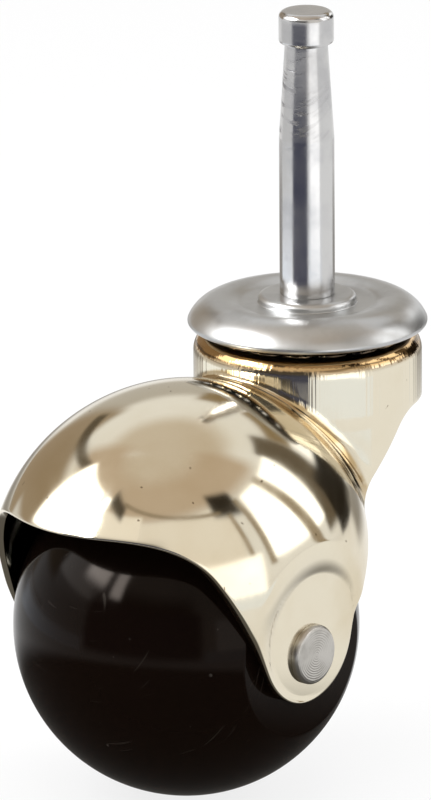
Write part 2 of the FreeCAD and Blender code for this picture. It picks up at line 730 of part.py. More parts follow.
def main():
    """Build every piece and write one file for each."""
    pieces = [build_stem(), build_flange(), *build_bearing_balls(), build_swivel_washer()]
    pieces += [build_hood(), build_axle(), build_wheel()]
    DOCUMENT.recompute()
    check_document()
    os.makedirs("parts", exist_ok=True)
    for piece in pieces:
        shape = piece.Shape
        if shape.isNull() or len(shape.Solids) != 1:
            raise RuntimeError(f"{piece.Name} has {len(shape.Solids)} solids")
        shape.exportStep(f"parts/{piece.Name}.step")
        box = shape.BoundBox
        print(piece.Name, round(shape.Volume, 1), round(box.ZMin, 2), round(box.ZMax, 2))


main()
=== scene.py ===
"""Looks of the ball castor: turned stem, pressed flange, drawn hood, axle and ball wheel.

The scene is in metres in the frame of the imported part: +Z up the stem, the wheel
trailing towards -X and the axle along Y. Sizes of pieces and panels are in mm; places
and heights in the finishes are in metres.
"""

import logging
from dataclasses import dataclass
from enum import Enum

import bpy
import numpy as np
from mathutils import Matrix, Vector


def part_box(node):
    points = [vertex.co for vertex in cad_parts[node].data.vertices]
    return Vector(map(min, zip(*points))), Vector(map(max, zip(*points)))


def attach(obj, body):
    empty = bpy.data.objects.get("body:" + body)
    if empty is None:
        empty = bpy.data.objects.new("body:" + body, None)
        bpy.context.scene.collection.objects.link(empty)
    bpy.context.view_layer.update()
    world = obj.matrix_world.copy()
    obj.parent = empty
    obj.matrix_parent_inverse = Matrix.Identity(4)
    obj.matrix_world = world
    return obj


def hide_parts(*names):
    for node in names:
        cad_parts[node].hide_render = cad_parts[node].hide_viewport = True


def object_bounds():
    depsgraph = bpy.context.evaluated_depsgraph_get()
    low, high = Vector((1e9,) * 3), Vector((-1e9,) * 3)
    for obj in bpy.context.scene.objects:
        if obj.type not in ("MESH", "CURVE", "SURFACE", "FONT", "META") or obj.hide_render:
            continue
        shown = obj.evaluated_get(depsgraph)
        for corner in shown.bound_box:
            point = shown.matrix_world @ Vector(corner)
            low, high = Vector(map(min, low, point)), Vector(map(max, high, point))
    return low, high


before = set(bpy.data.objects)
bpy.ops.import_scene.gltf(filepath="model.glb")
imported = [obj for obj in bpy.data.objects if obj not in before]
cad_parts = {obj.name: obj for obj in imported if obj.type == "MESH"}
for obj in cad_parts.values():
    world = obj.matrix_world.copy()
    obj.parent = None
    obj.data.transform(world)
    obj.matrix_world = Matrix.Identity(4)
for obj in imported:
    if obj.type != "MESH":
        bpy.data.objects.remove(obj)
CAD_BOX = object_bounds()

LOG = logging.getLogger("ball_castor")
MM = 0.001
QUARTER = 0.5 * np.pi
ORIGIN = np.zeros(3)
# Values that count as nothing
SMALL = 1e-6
TINY = 1e-9
# Roundings of cut edges and of inner corners, in mm
EDGE = 0.1
NOOK = 0.05
Array = np.ndarray
Socket = bpy.types.NodeSocket
# A band has a low end, a high end and how soft they are; a step has two ends and its results there
Pair = tuple[float, float]
Triple = tuple[float, float, float]
Band = Triple
Step = tuple[float, float, Pair]


class Axis(Enum):
    """Axis that a turned piece is round about."""

    STEM = "Z"
    AXLE = "Y"


class Body(Enum):
    """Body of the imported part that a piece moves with."""

    STEM = "stem"
    RING = "ball_ring"
    HOOD = "hood"
    WHEEL = "wheel"


class Slot(Enum):
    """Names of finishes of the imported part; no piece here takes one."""

    STEM = "stem_steel"
    FLANGE = "flange_steel"
    BEARING = "bearing_steel"
    BRASS = "brass_plate"
    AXLE = "axle_steel"
    BALL = "ball_plastic"


# Surfaces


def grid_quads(rows: int, columns: int, wrap_rows: bool) -> Array:
    """Return the quads of a grid of points that closes round its columns.

    Args:
        rows: Number of rows, each a ring of points.
        columns: Number of points in a ring.
        wrap_rows: Whether the last ring joins the first one too.

    Returns:
        Four point numbers a quad; points are numbered ring by ring.
    """
    steps = rows if wrap_rows else rows - 1
    row, column = np.meshgrid(np.arange(steps), np.arange(columns), indexing="ij")
    below = (row + 1) % rows
    beside = (column + 1) % columns
    corners = [
        row * columns + column,
        row * columns + beside,
        below * columns + beside,
        below * columns + column,
    ]
    return np.stack(corners, -1).reshape(-1, 4)


def enclosed_volume(points: Array, faces: list[Array]) -> float:
    """Return the signed volume inside a closed surface.

    The sum over fans of triangles (a, b, c) is a . (b x c) / 6.

    Args:
        points: Points of the surface.
        faces: Groups of faces with the same number of corners.

    Returns:
        The volume, above zero where the faces point outwards.
    """
    total = 0.0
    for group in faces:
        for corner in range(1, group.shape[1] - 1):
            first = points[group[:, 0]]
            second = points[group[:, corner]]
            third = points[group[:, corner + 1]]
            total += float(np.einsum("ij,ij->", first, np.cross(second, third)))
    return total / 6.0


def put(name: str, data: bpy.types.ID) -> bpy.types.Object:
    """Put an object into the scene, at the origin.

    Args:
        name: Name of the object.
        data: Mesh, light or camera that it holds.

    Returns:
        The new object.
    """
    thing = bpy.data.objects.new(name, data)
    bpy.context.scene.collection.objects.link(thing)
    return thing


def add_surface(name: str, points: Array, faces: list[Array]) -> bpy.types.Object:
    """Add a smooth closed surface to the scene, its faces turned outwards.

    Args:
        name: Name of the new object.
        points: Points in mm, one a line.
        faces: Groups of faces with the same number of corners.

    Returns:
        The new object, at the origin.
    """
    if enclosed_volume(points, faces) < 0.0:
        faces = [group[:, ::-1] for group in faces]
    corners = np.concatenate([group.ravel() for group in faces]).astype(np.int32)
    counts = np.concatenate([np.full(len(group), group.shape[1]) for group in faces])
    starts = np.concatenate([[0], np.cumsum(counts)[:-1]]).astype(np.int32)
    mesh = bpy.data.meshes.new(name)
    mesh.vertices.add(len(points))
    mesh.vertices.foreach_set("co", (points * MM).astype(np.float32).ravel())
    mesh.loops.add(len(corners))
    mesh.loops.foreach_set("vertex_index", corners)
    mesh.polygons.add(len(starts))
    mesh.polygons.foreach_set("loop_start", starts)
    mesh.polygons.foreach_set("use_smooth", np.ones(len(starts), dtype=bool))
    mesh.update(calc_edges=True)
    mesh.validate()
    return put(name, mesh)


def turned(name: str, profile: Array, axis: Axis, place: Array, columns: int) -> bpy.types.Object:
    """Add a piece turned from a profile.

    A point is place + r cos(u) e1 + r sin(u) e2 + h e3, with (r, h) on the profile,
    u round the axis e3, and e1, e2 across it. A profile that starts and ends on the
    axis closes with two poles; any other one closes on itself.

    Args:
        name: Name of the new object.
        profile: Radius and height of each point, in mm.
        axis: Axis that the piece is round about.
        place: Point on the axis where the height is zero.
        columns: Number of points in a ring.

    Returns:
        The new object.
    """
    poles = profile[0, 0] < TINY and profile[-1, 0] < TINY
    rings = profile[1:-1] if poles else profile
    turn = np.linspace(0.0, 2.0 * np.pi, columns, endpoint=False)
    across = rings[:, :1] * np.cos(turn)[None]
    aside = rings[:, :1] * np.sin(turn)[None]
    along = np.broadcast_to(rings[:, 1:], across.shape)
    order = (across, aside, along) if axis is Axis.STEM else (across, along, -aside)
    points = np.stack(order, -1).reshape(-1, 3)
    faces = [grid_quads(len(rings), columns, not poles)]
    if poles:
        ends = np.zeros((2, 3))
        ends[:, 2 if axis is Axis.STEM else 1] = profile[[0, -1], 1]
        first = len(points)
        points = np.concatenate([points, ends])
        ring = np.arange(columns)
        beside = (ring + 1) % columns
        last = (len(rings) - 1) * columns
        faces.append(np.stack([beside, ring, np.full(columns, first)], -1))
        faces.append(np.stack([ring + last, beside + last, np.full(columns, first + 1)], -1))
    return add_surface(name, points + place, faces)


def arc(middle: Pair, radius: float, start: float, end: float, count: int) -> Array:
    """Return points on an arc, middle + radius (cos t, sin t) from start to end.

    Args:
        middle: Centre of the arc.
        radius: Radius of the arc.
        start: First angle in radians.
        end: Last angle in radians.
        count: Number of points.

    Returns:
        The points, one a line.
    """
    turn = np.linspace(start, end, count)
    return np.stack([middle[0] + radius * np.cos(turn), middle[1] + radius * np.sin(turn)], -1)


def rounded(corners: list[Triple], count: int = 9) -> Array:
    """Return an open line through corners, each rounded by its own radius.

    A corner of half angle a is left at r / tan(a) along each side, and the points
    between lie on the circle of radius r that touches both sides.

    Args:
        corners: Two coordinates and a radius for each corner; zero keeps it sharp.
        count: Points on each rounding.

    Returns:
        The points, one a line.
    """
    spots = np.array([corner[:2] for corner in corners], float)
    pieces = [spots[:1]]
    for k in range(1, len(corners) - 1):
        spot = spots[k]
        radius = corners[k][2]
        back = (spots[k - 1] - spot) / np.linalg.norm(spots[k - 1] - spot)
        ahead = (spots[k + 1] - spot) / np.linalg.norm(spots[k + 1] - spot)
        half = 0.5 * np.arccos(np.clip(back @ ahead, -1.0, 1.0))
        if radius <= 0.0:
            pieces.append(spot[None])
            continue
        middle = spot + (back + ahead) / np.linalg.norm(back + ahead) * radius / np.sin(half)
        first = spot + back * radius / np.tan(half) - middle
        last = spot + ahead * radius / np.tan(half) - middle
        low = np.arctan2(first[1], first[0])
        swing = np.arctan2(last[1], last[0]) - low
        swing = (swing + np.pi) % (2.0 * np.pi) - np.pi
        pieces.append(arc(tuple(middle), radius, low, low + swing, count))
    pieces.append(spots[-1:])
    return np.concatenate(pieces)


def densify(line: Array, step: float) -> Array:
    """Return a line with extra points so that no piece of it is longer than a step.

    Args:
        line: Points of the line.
        step: Longest piece, in mm.

    Returns:
        The old points with evenly spaced ones between them.
    """
    lengths = np.linalg.norm(np.diff(line, axis=0), axis=1)
    shares = np.maximum(np.ceil(lengths / step).astype(int), 1)
    place = np.repeat(np.arange(len(shares)), shares)
    within = np.arange(len(place)) - np.repeat(np.cumsum(shares) - shares, shares)
    mix = (within / shares[place])[:, None]
    inner = line[place] * (1.0 - mix) + line[place + 1] * mix
    return np.concatenate([inner, line[-1:]])


# Finishes

MIX_FIRST, MIX_SECOND, MIX_RESULT = 6, 7, 2
RISE = (0.0, 1.0)
FALL = (1.0, 0.0)


@dataclass(frozen=True)
class Marks:
    """Noise that shows as marks between two of its levels."""

    size: float | Triple
    detail: float
    low: float
    high: float
    out: Pair = RISE
    turn: float = 0.0


@dataclass(frozen=True)
class Relief:
    """Noise that shows as height, with the height of its tops."""

    size: float | Triple
    detail: float
    depth: float


class Shader:
    """A node material while it is put together."""

    def __init__(self, name: str) -> None:
        """Start a material with one principled surface.

        Args:
            name: Name of the material.
        """
        self.material = bpy.data.materials.new(name)
        self.material.use_nodes = True
        self.tree = self.material.node_tree
        self.surface = self.tree.nodes["Principled BSDF"]
        self.place = self.add("TexCoord").outputs["Object"]

    def add(self, kind: str, **settings: object) -> bpy.types.Node:
        """Add a node.

        Args:
            kind: Type of the node, without the words that all types start with.
            settings: Properties to set on it.

        Returns:
            The new node.
        """
        node = self.tree.nodes.new(f"ShaderNode{kind}")
        for name, value in settings.items():
            setattr(node, name, value)
        return node

    def join(self, source: Socket, target: Socket) -> None:
        """Link an output to an input."""
        self.tree.links.new(source, target)

    def level(self, socket: str, value: float | tuple) -> None:
        """Set a plain value on the surface itself."""
        self.surface.inputs[socket].default_value = value

    def vector(self, operation: str, place: Socket, other: Triple = (0.0, 0.0, 0.0)) -> Socket:
        """Return a place after work with a plain vector.

        Args:
            operation: The work.
            place: The place.
            other: The plain vector, where the work takes one.

        Returns:
            The new place, or a value where the work gives one.
        """
        node = self.add("VectorMath", operation=operation)
        self.join(place, node.inputs[0])
        node.inputs[1].default_value = other
        single = operation in ("DOT_PRODUCT", "LENGTH")
        return node.outputs["Value" if single else "Vector"]

    def scaled(self, size: Triple, turn: float = 0.0) -> Socket:
        """Return the place of a point, turned about Y and then scaled.

        Args:
            size: Scale along X, Y and Z.
            turn: Turn about Y in degrees.

        Returns:
            The scaled place.
        """
        spun = self.add("VectorRotate", rotation_type="Y_AXIS")
        spun.inputs["Angle"].default_value = np.radians(turn)
        self.join(self.place, spun.inputs["Vector"])
        return self.vector("MULTIPLY", spun.outputs["Vector"], size)

    def noise(self, size: float | Triple, detail: float, turn: float = 0.0) -> Socket:
        """Return soft noise from 0 to 1, even or drawn out into streaks.

        Args:
            size: Spots a metre, all round or along X, Y and Z.
            detail: Octaves of the noise.
            turn: Turn of the streaks about Y in degrees.

        Returns:
            The noise.
        """
        even = isinstance(size, float)
        node = self.add("TexNoise")
        node.inputs["Scale"].default_value = size if even else 1.0
        node.inputs["Detail"].default_value = detail
        self.join(self.place if even else self.scaled(size, turn), node.inputs["Vector"])
        return node.outputs["Fac"]

    def marks(self, kind: Marks) -> Socket:
        """Return the marks of a noise."""
        noise = self.noise(kind.size, kind.detail, kind.turn)
        return self.ramp(noise, kind.low, kind.high, kind.out)

    def ramp(self, value: Socket, low: float, high: float, out: Pair = RISE) -> Socket:
        """Return a smooth step of a value between two levels.

        Args:
            value: The value.
            low: Where the step starts.
            high: Where the step ends.
            out: Result at the start and at the end.

        Returns:
            The stepped value.
        """
        node = self.add("MapRange", interpolation_type="SMOOTHSTEP")
        ends = ("From Min", "From Max", "To Min", "To Max")
        for name, end in zip(ends, (low, high, *out)):
            node.inputs[name].default_value = end
        self.join(value, node.inputs["Value"])
        return node.outputs["Result"]

    def band(self, value: Socket, low: float, high: float, soft: float) -> Socket:
        """Return 1 between two levels of a value and 0 outside them, with soft ends."""
        up = self.ramp(value, low - soft, low + soft)
        return self.times(up, self.ramp(value, high - soft, high + soft, FALL))

    def work(self, operation: str, first: Socket, second: Socket | float) -> Socket:
        """Return two values put together.

        Args:
            operation: How they are put together.
            first: First value.
            second: Second value or a plain number.

        Returns:
            The result.
        """
        node = self.add("Math", operation=operation)
        self.join(first, node.inputs[0])
        if isinstance(second, float):
            node.inputs[1].default_value = second
        else:
            self.join(second, node.inputs[1])
        return node.outputs["Value"]

    def times(self, first: Socket, second: Socket | float) -> Socket:
        """Return the product of two values."""
        return self.work("MULTIPLY", first, second)

    def plus(self, first: Socket, second: Socket | float) -> Socket:
        """Return the sum of two values."""
        return self.work("ADD", first, second)

    def height(self) -> Socket:
        """Return how high the point is, in metres."""
        return self.vector("DOT_PRODUCT", self.place, (0.0, 0.0, 1.0))

    def off_stem(self) -> Socket:
        """Return how far the point is from the stem axis, in metres."""
        return self.vector("LENGTH", self.scaled((1.0, 1.0, 0.0)))

    def off_oval(self, middle: Triple, half: Triple) -> Socket:
        """Return |(p - middle) / half| for the point p, which is 1 on the oval."""
        moved = self.vector("SUBTRACT", self.place, middle)
        return self.vector("LENGTH", self.vector("DIVIDE", moved, half))

    def tint(self, share: Socket, base: Socket | Triple, other: Triple) -> Socket:
        """Return a mix of two colours.

        Args:
            share: Share of the second colour.
            base: First colour, plain or from a node.
            other: Second colour, linear RGB.

        Returns:
            The mixed colour.
        """
        node = self.add("Mix", data_type="RGBA")
        self.join(share, node.inputs["Factor"])
        if isinstance(base, tuple):
            node.inputs[MIX_FIRST].default_value = (*base, 1.0)
        else:
            self.join(base, node.inputs[MIX_FIRST])
        node.inputs[MIX_SECOND].default_value = (*other, 1.0)
        return node.outputs[MIX_RESULT]

    def bump(self, height: Socket, depth: float) -> None:
        """Lay one more relief over the surface.

        Args:
            height: Height from 0 to 1.
            depth: Height of 1, in metres.
        """
        node = self.add("Bump")
        node.inputs["Strength"].default_value = 1.0
        node.inputs["Distance"].default_value = depth
        self.join(height, node.inputs["Height"])
        for link in self.surface.inputs["Normal"].links:
            self.join(link.from_socket, node.inputs["Normal"])
        self.join(node.outputs["Normal"], self.surface.inputs["Normal"])

    def relief(self, kind: Relief) -> None:
        """Lay the relief of a noise over the surface."""
        self.bump(self.noise(kind.size, kind.detail), kind.depth)

    def finish(self, colour: Socket, roughness: Socket) -> None:
        """Use a colour and a roughness for the surface."""
        self.join(colour, self.surface.inputs["Base Color"])
        self.join(roughness, self.surface.inputs["Roughness"])


@dataclass(frozen=True)
class BrassPlate:
    """Pale brass plate on drawn sheet, with a painted golden reflection in its crease and on the
    shoulder under the flange, painted shade under the flange, and draw marks on the neck.
    """

    base: Triple = (0.73, 0.67, 0.535)
    deep: Triple = (0.66, 0.58, 0.43)
    # The next two golds are painted reflections, on the shoulder under the flange and in the
    # crease. The dark brown after them is painted shade of the gap under the flange, and also the
    # real colour of the specks. share sets how strongly the shoulder's painted reflection and
    # shade are laid on.
    shoulder_reflection: Triple = (0.42, 0.25, 0.085)
    crease_reflection: Triple = (0.46, 0.32, 0.145)
    speck_and_gap_shade: Triple = (0.10, 0.06, 0.025)
    share: float = 0.85
    dome_middle: Triple = (-0.0288, 0.0, -0.03505)
    dome_half: Triple = (0.0302, 0.0256, 0.0276)
    neck_reach: Pair = (0.01662, 0.0169)
    neck_band: Band = (-0.0155, -0.0068, 0.0012)
    rim_band: Band = (-0.0076, -0.0050, 0.0006)
    crease_band: Band = (1.010, 1.052, 0.010)
    crease_level: Pair = (-0.030, -0.022)
    crease_reach: Pair = (0.0190, 0.0215)
    clouds: Marks = Marks(55.0, 4.0, 0.42, 0.72)
    # Streaks of painted shade on the shoulder under the flange.
    gap_shade_streaks: Marks = Marks((90.0, 90.0, 1500.0), 3.0, 0.5, 0.62)
    # Patches of the painted reflection in the crease.
    crease_reflection_mottle: Marks = Marks((160.0, 160.0, 420.0), 4.0, 0.30, 0.60, (0.35, 0.9))
    specks: Marks = Marks(900.0, 1.0, 0.77, 0.80, (0.0, 0.7))
    blush: Marks = Marks(120.0, 4.0, 0.35, 0.75, (0.08, 0.15))
    draw: Relief = Relief((1300.0, 1300.0, 18.0), 2.0, 0.00012)
    waves: Relief = Relief(60.0, 1.0, 0.00003)
    grain: Relief = Relief(1400.0, 2.0, 0.0000006)

    def make(self) -> bpy.types.Material:
        """Put the plate together: clouds, a painted reflection in the crease and in gold on the
        shoulder under the flange, painted shade streaks on that shoulder, specks, draw marks,
        grain.

        Returns:
            The material.
        """
        shader = Shader("brass_plate")
        shader.level("Metallic", 1.0)
        level = shader.height()
        reach = shader.off_stem()
        on_neck = shader.ramp(reach, *self.neck_reach, FALL)
        colour = shader.tint(shader.marks(self.clouds), self.base, self.deep)
        # Painted reflection: golden-brown patches in the crease between dome and neck.
        crease = shader.band(shader.off_oval(self.dome_middle, self.dome_half), *self.crease_band)
        crease = shader.times(crease, shader.ramp(level, *self.crease_level))
        crease = shader.times(crease, shader.ramp(reach, *self.crease_reach, FALL))
        colour = shader.tint(shader.times(crease, shader.marks(self.crease_reflection_mottle)), colour, self.crease_reflection)
        # Painted reflection in gold on the shoulder under the flange, then painted shade of the
        # gap in dark streaks over it.
        rim = shader.times(shader.band(level, *self.rim_band), on_neck)
        colour = shader.tint(shader.times(rim, self.share), colour, self.shoulder_reflection)
        gap_shade = shader.times(shader.marks(self.gap_shade_streaks), rim)
        colour = shader.tint(shader.times(gap_shade, self.share), colour, self.speck_and_gap_shade)
        colour = shader.tint(shader.marks(self.specks), colour, self.speck_and_gap_shade)
        shader.finish(colour, shader.marks(self.blush))
        neck = shader.times(shader.band(level, *self.neck_band), on_neck)
        lines = shader.noise(self.draw.size, self.draw.detail)
        shader.bump(shader.times(lines, neck), self.draw.depth)
        shader.relief(self.waves)
        shader.relief(self.grain)
        return shader.material


@dataclass(frozen=True)
class ZincSteel:
    """Bright zinc on steel, scuffed where the stem grips its socket."""

    name: str
    base: Triple = (0.57, 0.565, 0.56)
    dull: Triple = (0.42, 0.42, 0.43)
    smooth: float = 0.15
    coarse: float = 0.26
    scuffed: bool = False
    clouds: float = 160.0
    cloud_detail: float = 4.0
    dulled: Step = (0.42, 0.68, (0.0, 0.6))
    worn: Pair = (0.3, 0.75)
    grip_band: Band = (0.0225, 0.0375, 0.0012)
    scratches: Marks = Marks((260.0, 260.0, 1700.0), 3.0, 0.50, 0.62, turn=32.0)
    patches: Marks = Marks(230.0, 2.0, 0.40, 0.58)
    scuff_side: Triple = (-0.649, 0.761, 0.0)
    scuff_edge: Step = (-0.0006, 0.0012, (0.12, 1.0))
    scuff: Triple = (0.16, 0.155, 0.17)
    scuff_share: float = 0.75
    scuff_rough: float = 0.25
    scuff_depth: float = 0.00002
    grain: Relief = Relief(700.0, 3.0, 0.000012)

    def make(self) -> bpy.types.Material:
        """Put the zinc together: dull clouds, scuffs on the grip where it has them, and grain.

        Returns:
            The material.
        """
        shader = Shader(self.name)
        shader.level("Metallic", 1.0)
        clouds = shader.noise(self.clouds, self.cloud_detail)
        colour = shader.tint(shader.ramp(clouds, *self.dulled), self.base, self.dull)
        rough = shader.ramp(clouds, *self.worn, (self.smooth, self.coarse))
        if self.scuffed:
            marks = shader.times(shader.marks(self.scratches), shader.marks(self.patches))
            marks = shader.times(marks, shader.band(shader.height(), *self.grip_band))
            side = shader.vector("DOT_PRODUCT", shader.place, self.scuff_side)
            marks = shader.times(marks, shader.ramp(side, *self.scuff_edge))
            colour = shader.tint(shader.times(marks, self.scuff_share), colour, self.scuff)
            rough = shader.plus(rough, shader.times(marks, self.scuff_rough))
            shader.bump(shader.times(marks, -1.0), self.scuff_depth)
        shader.finish(colour, rough)
        shader.relief(self.grain)
        return shader.material


@dataclass(frozen=True)
class TurnedSteel:
    """Dull steel with the rings of a facing cut round the axle."""

    axle: Triple
    base: Triple = (0.54, 0.52, 0.485)
    dark: Triple = (0.33, 0.315, 0.285)
    clouds: float = 420.0
    cloud_detail: float = 4.0
    darkened: Step = (0.42, 0.8, (0.0, 0.55))
    worn: Step = (0.3, 0.7, (0.28, 0.38))
    rings: float = 900.0
    ring_waver: float = 1.5
    ring_depth: float = 0.00002

    def make(self) -> bpy.types.Material:
        """Put the steel together: dark clouds and the rings about the axle.

        Returns:
            The material.
        """
        shader = Shader("axle_steel")
        shader.level("Metallic", 1.0)
        rings = shader.add("TexWave", wave_type="RINGS", rings_direction="Y")
        rings.inputs["Scale"].default_value = self.rings
        rings.inputs["Distortion"].default_value = self.ring_waver
        shader.join(shader.vector("SUBTRACT", shader.place, self.axle), rings.inputs["Vector"])
        clouds = shader.noise(self.clouds, self.cloud_detail)
        colour = shader.tint(shader.ramp(clouds, *self.darkened), self.base, self.dark)
        shader.finish(colour, shader.ramp(clouds, *self.worn))
        shader.bump(rings.outputs["Fac"], self.ring_depth)
        return shader.material


@dataclass(frozen=True)
class BallPlastic:
    """Glossy dark brown plastic with hairline scratches and dust."""

    base: Triple = (0.0042, 0.0022, 0.0014)
    scratch: Triple = (0.018, 0.014, 0.011)
    scratch_share: float = 0.6
    scratch_rough: float = 0.15
    dust: Triple = (0.09, 0.08, 0.07)
    dust_share: float = 0.5
    dust_scale: float = 420.0
    dust_size: Pair = (0.09, 0.13)
    index: float = 1.49
    gloss: float = 0.085
    gloss_tint: Triple = (1.0, 0.86, 0.76)
    level_lines: Marks = Marks((60.0, 60.0, 2400.0), 2.0, 0.66, 0.7, turn=38.0)
    steep_lines: Marks = Marks((2000.0, 70.0, 70.0), 2.0, 0.67, 0.71, turn=-20.0)
    patches: Marks = Marks(140.0, 2.0, 0.5, 0.62)
    dusty: Marks = Marks(190.0, 2.0, 0.6, 0.7)
    haze: Marks = Marks(80.0, 3.0, 0.35, 0.7, (0.07, 0.13))
    swell: Relief = Relief(38.0, 1.0, 0.00006)

    def make(self) -> bpy.types.Material:
        """Put the plastic together: scratches in patches, dots of dust and a soft swell.

        Returns:
            The material.
        """
        shader = Shader("ball_plastic")
        shader.level("IOR", self.index)
        shader.level("Specular Tint", (*self.gloss_tint, 1.0))
        shader.level("Specular IOR Level", self.gloss)
        lines = shader.plus(shader.marks(self.level_lines), shader.marks(self.steep_lines))
        lines = shader.times(lines, shader.marks(self.patches))
        colour = shader.tint(shader.times(lines, self.scratch_share), self.base, self.scratch)
        cells = shader.add("TexVoronoi")
        cells.inputs["Scale"].default_value = self.dust_scale
        shader.join(shader.place, cells.inputs["Vector"])
        dots = shader.ramp(cells.outputs["Distance"], *self.dust_size, FALL)
        dots = shader.times(dots, shader.marks(self.dusty))
        colour = shader.tint(shader.times(dots, self.dust_share), colour, self.dust)
        rough = shader.plus(shader.marks(self.haze), shader.times(lines, self.scratch_rough))
        shader.finish(colour, rough)
        shader.relief(self.swell)
        return shader.material


# Pieces


def middle_of(node: str) -> Array:
    """Return the middle of a node's box, in mm."""
    low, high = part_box(node)
    return np.array((low + high) / (2.0 * MM))


def settle(
    thing: bpy.types.Object, material: bpy.types.Material, body: Body, node: str
) -> None:
    """Give a piece its finish and put it in the place of the node it stands for.

    Args:
        thing: The piece.
        material: Its finish.
        body: Body that it moves with.
        node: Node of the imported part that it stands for.
    """
    thing.data.materials.append(material)
    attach(thing, body.value)
    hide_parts(node)
    LOG.info("%s: %d points for %s", thing.name, len(thing.data.vertices), node)


@dataclass(frozen=True)
class Stem:
    """Grip-neck stem with its shank and its riveted end."""

    radius: float = 4.0
    grip: float = 3.1
    shank: float = 3.5
    rivet: float = 5.6
    head_height: float = 4.8
    grip_height: float = 14.0
    rivet_height: float = 2.0
    rivet_round: float = 0.9
    taper_round: float = 2.5
    grip_round: float = 0.25
    under_round: float = 0.55
    top_round: float = 1.0
    step: float = 0.6
    columns: int = 128

    def build(self) -> None:
        """Turn the stem about Z from a line with rounded corners."""
        low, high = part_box("stem")
        base = low.z / MM
        top = high.z / MM
        under = top - self.head_height
        corners = [
            (0.0, base, 0.0),
            (self.rivet, base, self.rivet_round),
            (self.rivet, base + self.rivet_height, EDGE),
            (self.shank, base + self.rivet_height, NOOK),
            (self.shank, 0.0, NOOK),
            (self.radius, 0.0, EDGE),
            (self.radius, under - self.grip_height, self.taper_round),
            (self.grip, under, self.grip_round),
            (self.radius, under, self.under_round),
            (self.radius, top, self.top_round),
            (0.0, top, 0.0),
        ]
        profile = densify(rounded(corners), self.step)
        thing = turned("turned_stem", profile, Axis.STEM, ORIGIN, self.columns)
        finish = ZincSteel("stem_zinc", scuffed=True).make()
        settle(thing, finish, Body.STEM, "stem")


@dataclass(frozen=True)
class Flange:
    """Pressed flange: raised boss, valley, crest over the balls and turned-down rim."""

    hole: float = 3.52
    sheet: float = 1.5
    boss: float = 7.2
    boss_round: float = 0.9
    valley: float = -1.25
    valley_round: float = 2.4
    crest: float = -0.55
    race: float = 12.5
    drop: float = 3.8
    rim_round: float = 0.6
    rim_loss: float = 0.18
    rim_lean: float = 0.02
    boss_foot: float = 0.15
    step: float = 0.8
    columns: int = 192

    def profile(self, reach: float, rim: float) -> Array:
        """Return the closed profile of the sheet.

        The crest is an arc about (race, middle); the valley blends into it on an arc
        that touches both, and the rim is a rounding against the cut edge.

        Args:
            reach: Outer radius of the rim.
            rim: Level of the rim.

        Returns:
            Radius and height of each point.
        """
        out = reach - self.race
        drop = self.crest - rim
        radius = (out**2 + drop**2) / (2.0 * drop)
        middle = (self.race, self.crest - radius)
        edge = np.arctan2(rim - middle[1], out)
        blend_z = self.valley + self.valley_round
        span = radius + self.valley_round
        blend_r = self.race - np.sqrt(span**2 - (blend_z - middle[1]) ** 2)
        touch = np.arctan2(blend_z - middle[1], blend_r - self.race)
        lean = np.arcsin(self.rim_round / (radius - self.rim_round))
        corner = (
            middle[0] + (radius - self.rim_round) * np.cos(edge + lean),
            middle[1] + (radius - self.rim_round) * np.sin(edge + lean),
        )
        inner = radius - self.sheet
        under = self.valley - self.sheet
        foot = np.arcsin((under - middle[1]) / inner)
        boss = rounded(
            [
                (blend_r, self.valley, 0.0),
                (self.boss, self.valley, self.boss_foot),
                (self.boss, 0.0, self.boss_round),
                (self.hole, 0.0, EDGE),
                (self.hole, -self.sheet, EDGE),
                (self.boss - self.sheet, -self.sheet, EDGE),
                (self.boss - self.sheet, under, EDGE),
                (middle[0] - inner * np.cos(foot), under, 0.0),
            ]
        )
        pieces = [
            arc(corner, self.rim_round, edge - QUARTER, edge + lean, count=8),
            arc(middle, radius, edge + lean, touch, count=40)[1:],
            arc((blend_r, blend_z), self.valley_round, touch - np.pi, -QUARTER, count=12)[1:],
            densify(boss, self.step)[1:],
            arc(middle, inner, np.pi - foot, edge + self.rim_lean, count=30)[1:],
        ]
        return np.concatenate(pieces)

    def build(self) -> None:
        """Turn the flange about Z."""
        _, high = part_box("flange_washer")
        profile = self.profile(high.x / MM + self.rim_loss, self.crest - self.drop)
        thing = turned("pressed_flange", profile, Axis.STEM, ORIGIN, self.columns)
        finish = ZincSteel(
            "flange_zinc",
            base=(0.50, 0.505, 0.505),
            dull=(0.38, 0.38, 0.375),
            smooth=0.28,
            coarse=0.40,
        )
        settle(thing, finish.make(), Body.STEM, "flange_washer")


@dataclass(frozen=True)
class Swivel:
    """Ring of bearing balls and the washer under the crown."""

    count: int = 16
    hole: float = 3.52
    washer_round: float = 0.3
    washer_step: float = 0.8
    washer_columns: int = 96
    ball_rows: int = 25
    ball_columns: int = 48

    def build(self) -> None:
        """Turn each ball and the washer."""
        finish = ZincSteel("bearing_bright", smooth=0.07, coarse=0.12).make()
        for number in range(1, self.count + 1):
            node = f"bearing_ball_{number:02d}"
            low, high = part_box(node)
            radius = (high.z - low.z) / (2.0 * MM)
            profile = arc((0.0, 0.0), radius, -QUARTER, QUARTER, self.ball_rows)
            profile[[0, -1], 0] = 0.0
            name = f"race_ball_{number:02d}"
            thing = turned(name, profile, Axis.STEM, middle_of(node), self.ball_columns)
            settle(thing, finish, Body.RING, node)
        low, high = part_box("swivel_washer")
        reach = high.x / MM
        corners = [
            (self.hole, low.z / MM, 0.0),
            (reach, low.z / MM, self.washer_round),
            (reach, high.z / MM, self.washer_round),
            (self.hole, high.z / MM, 0.0),
        ]
        profile = densify(rounded(corners), self.washer_step)
        thing = turned("washer_disc", profile, Axis.STEM, ORIGIN, self.washer_columns)
        settle(thing, finish, Body.STEM, "swivel_washer")


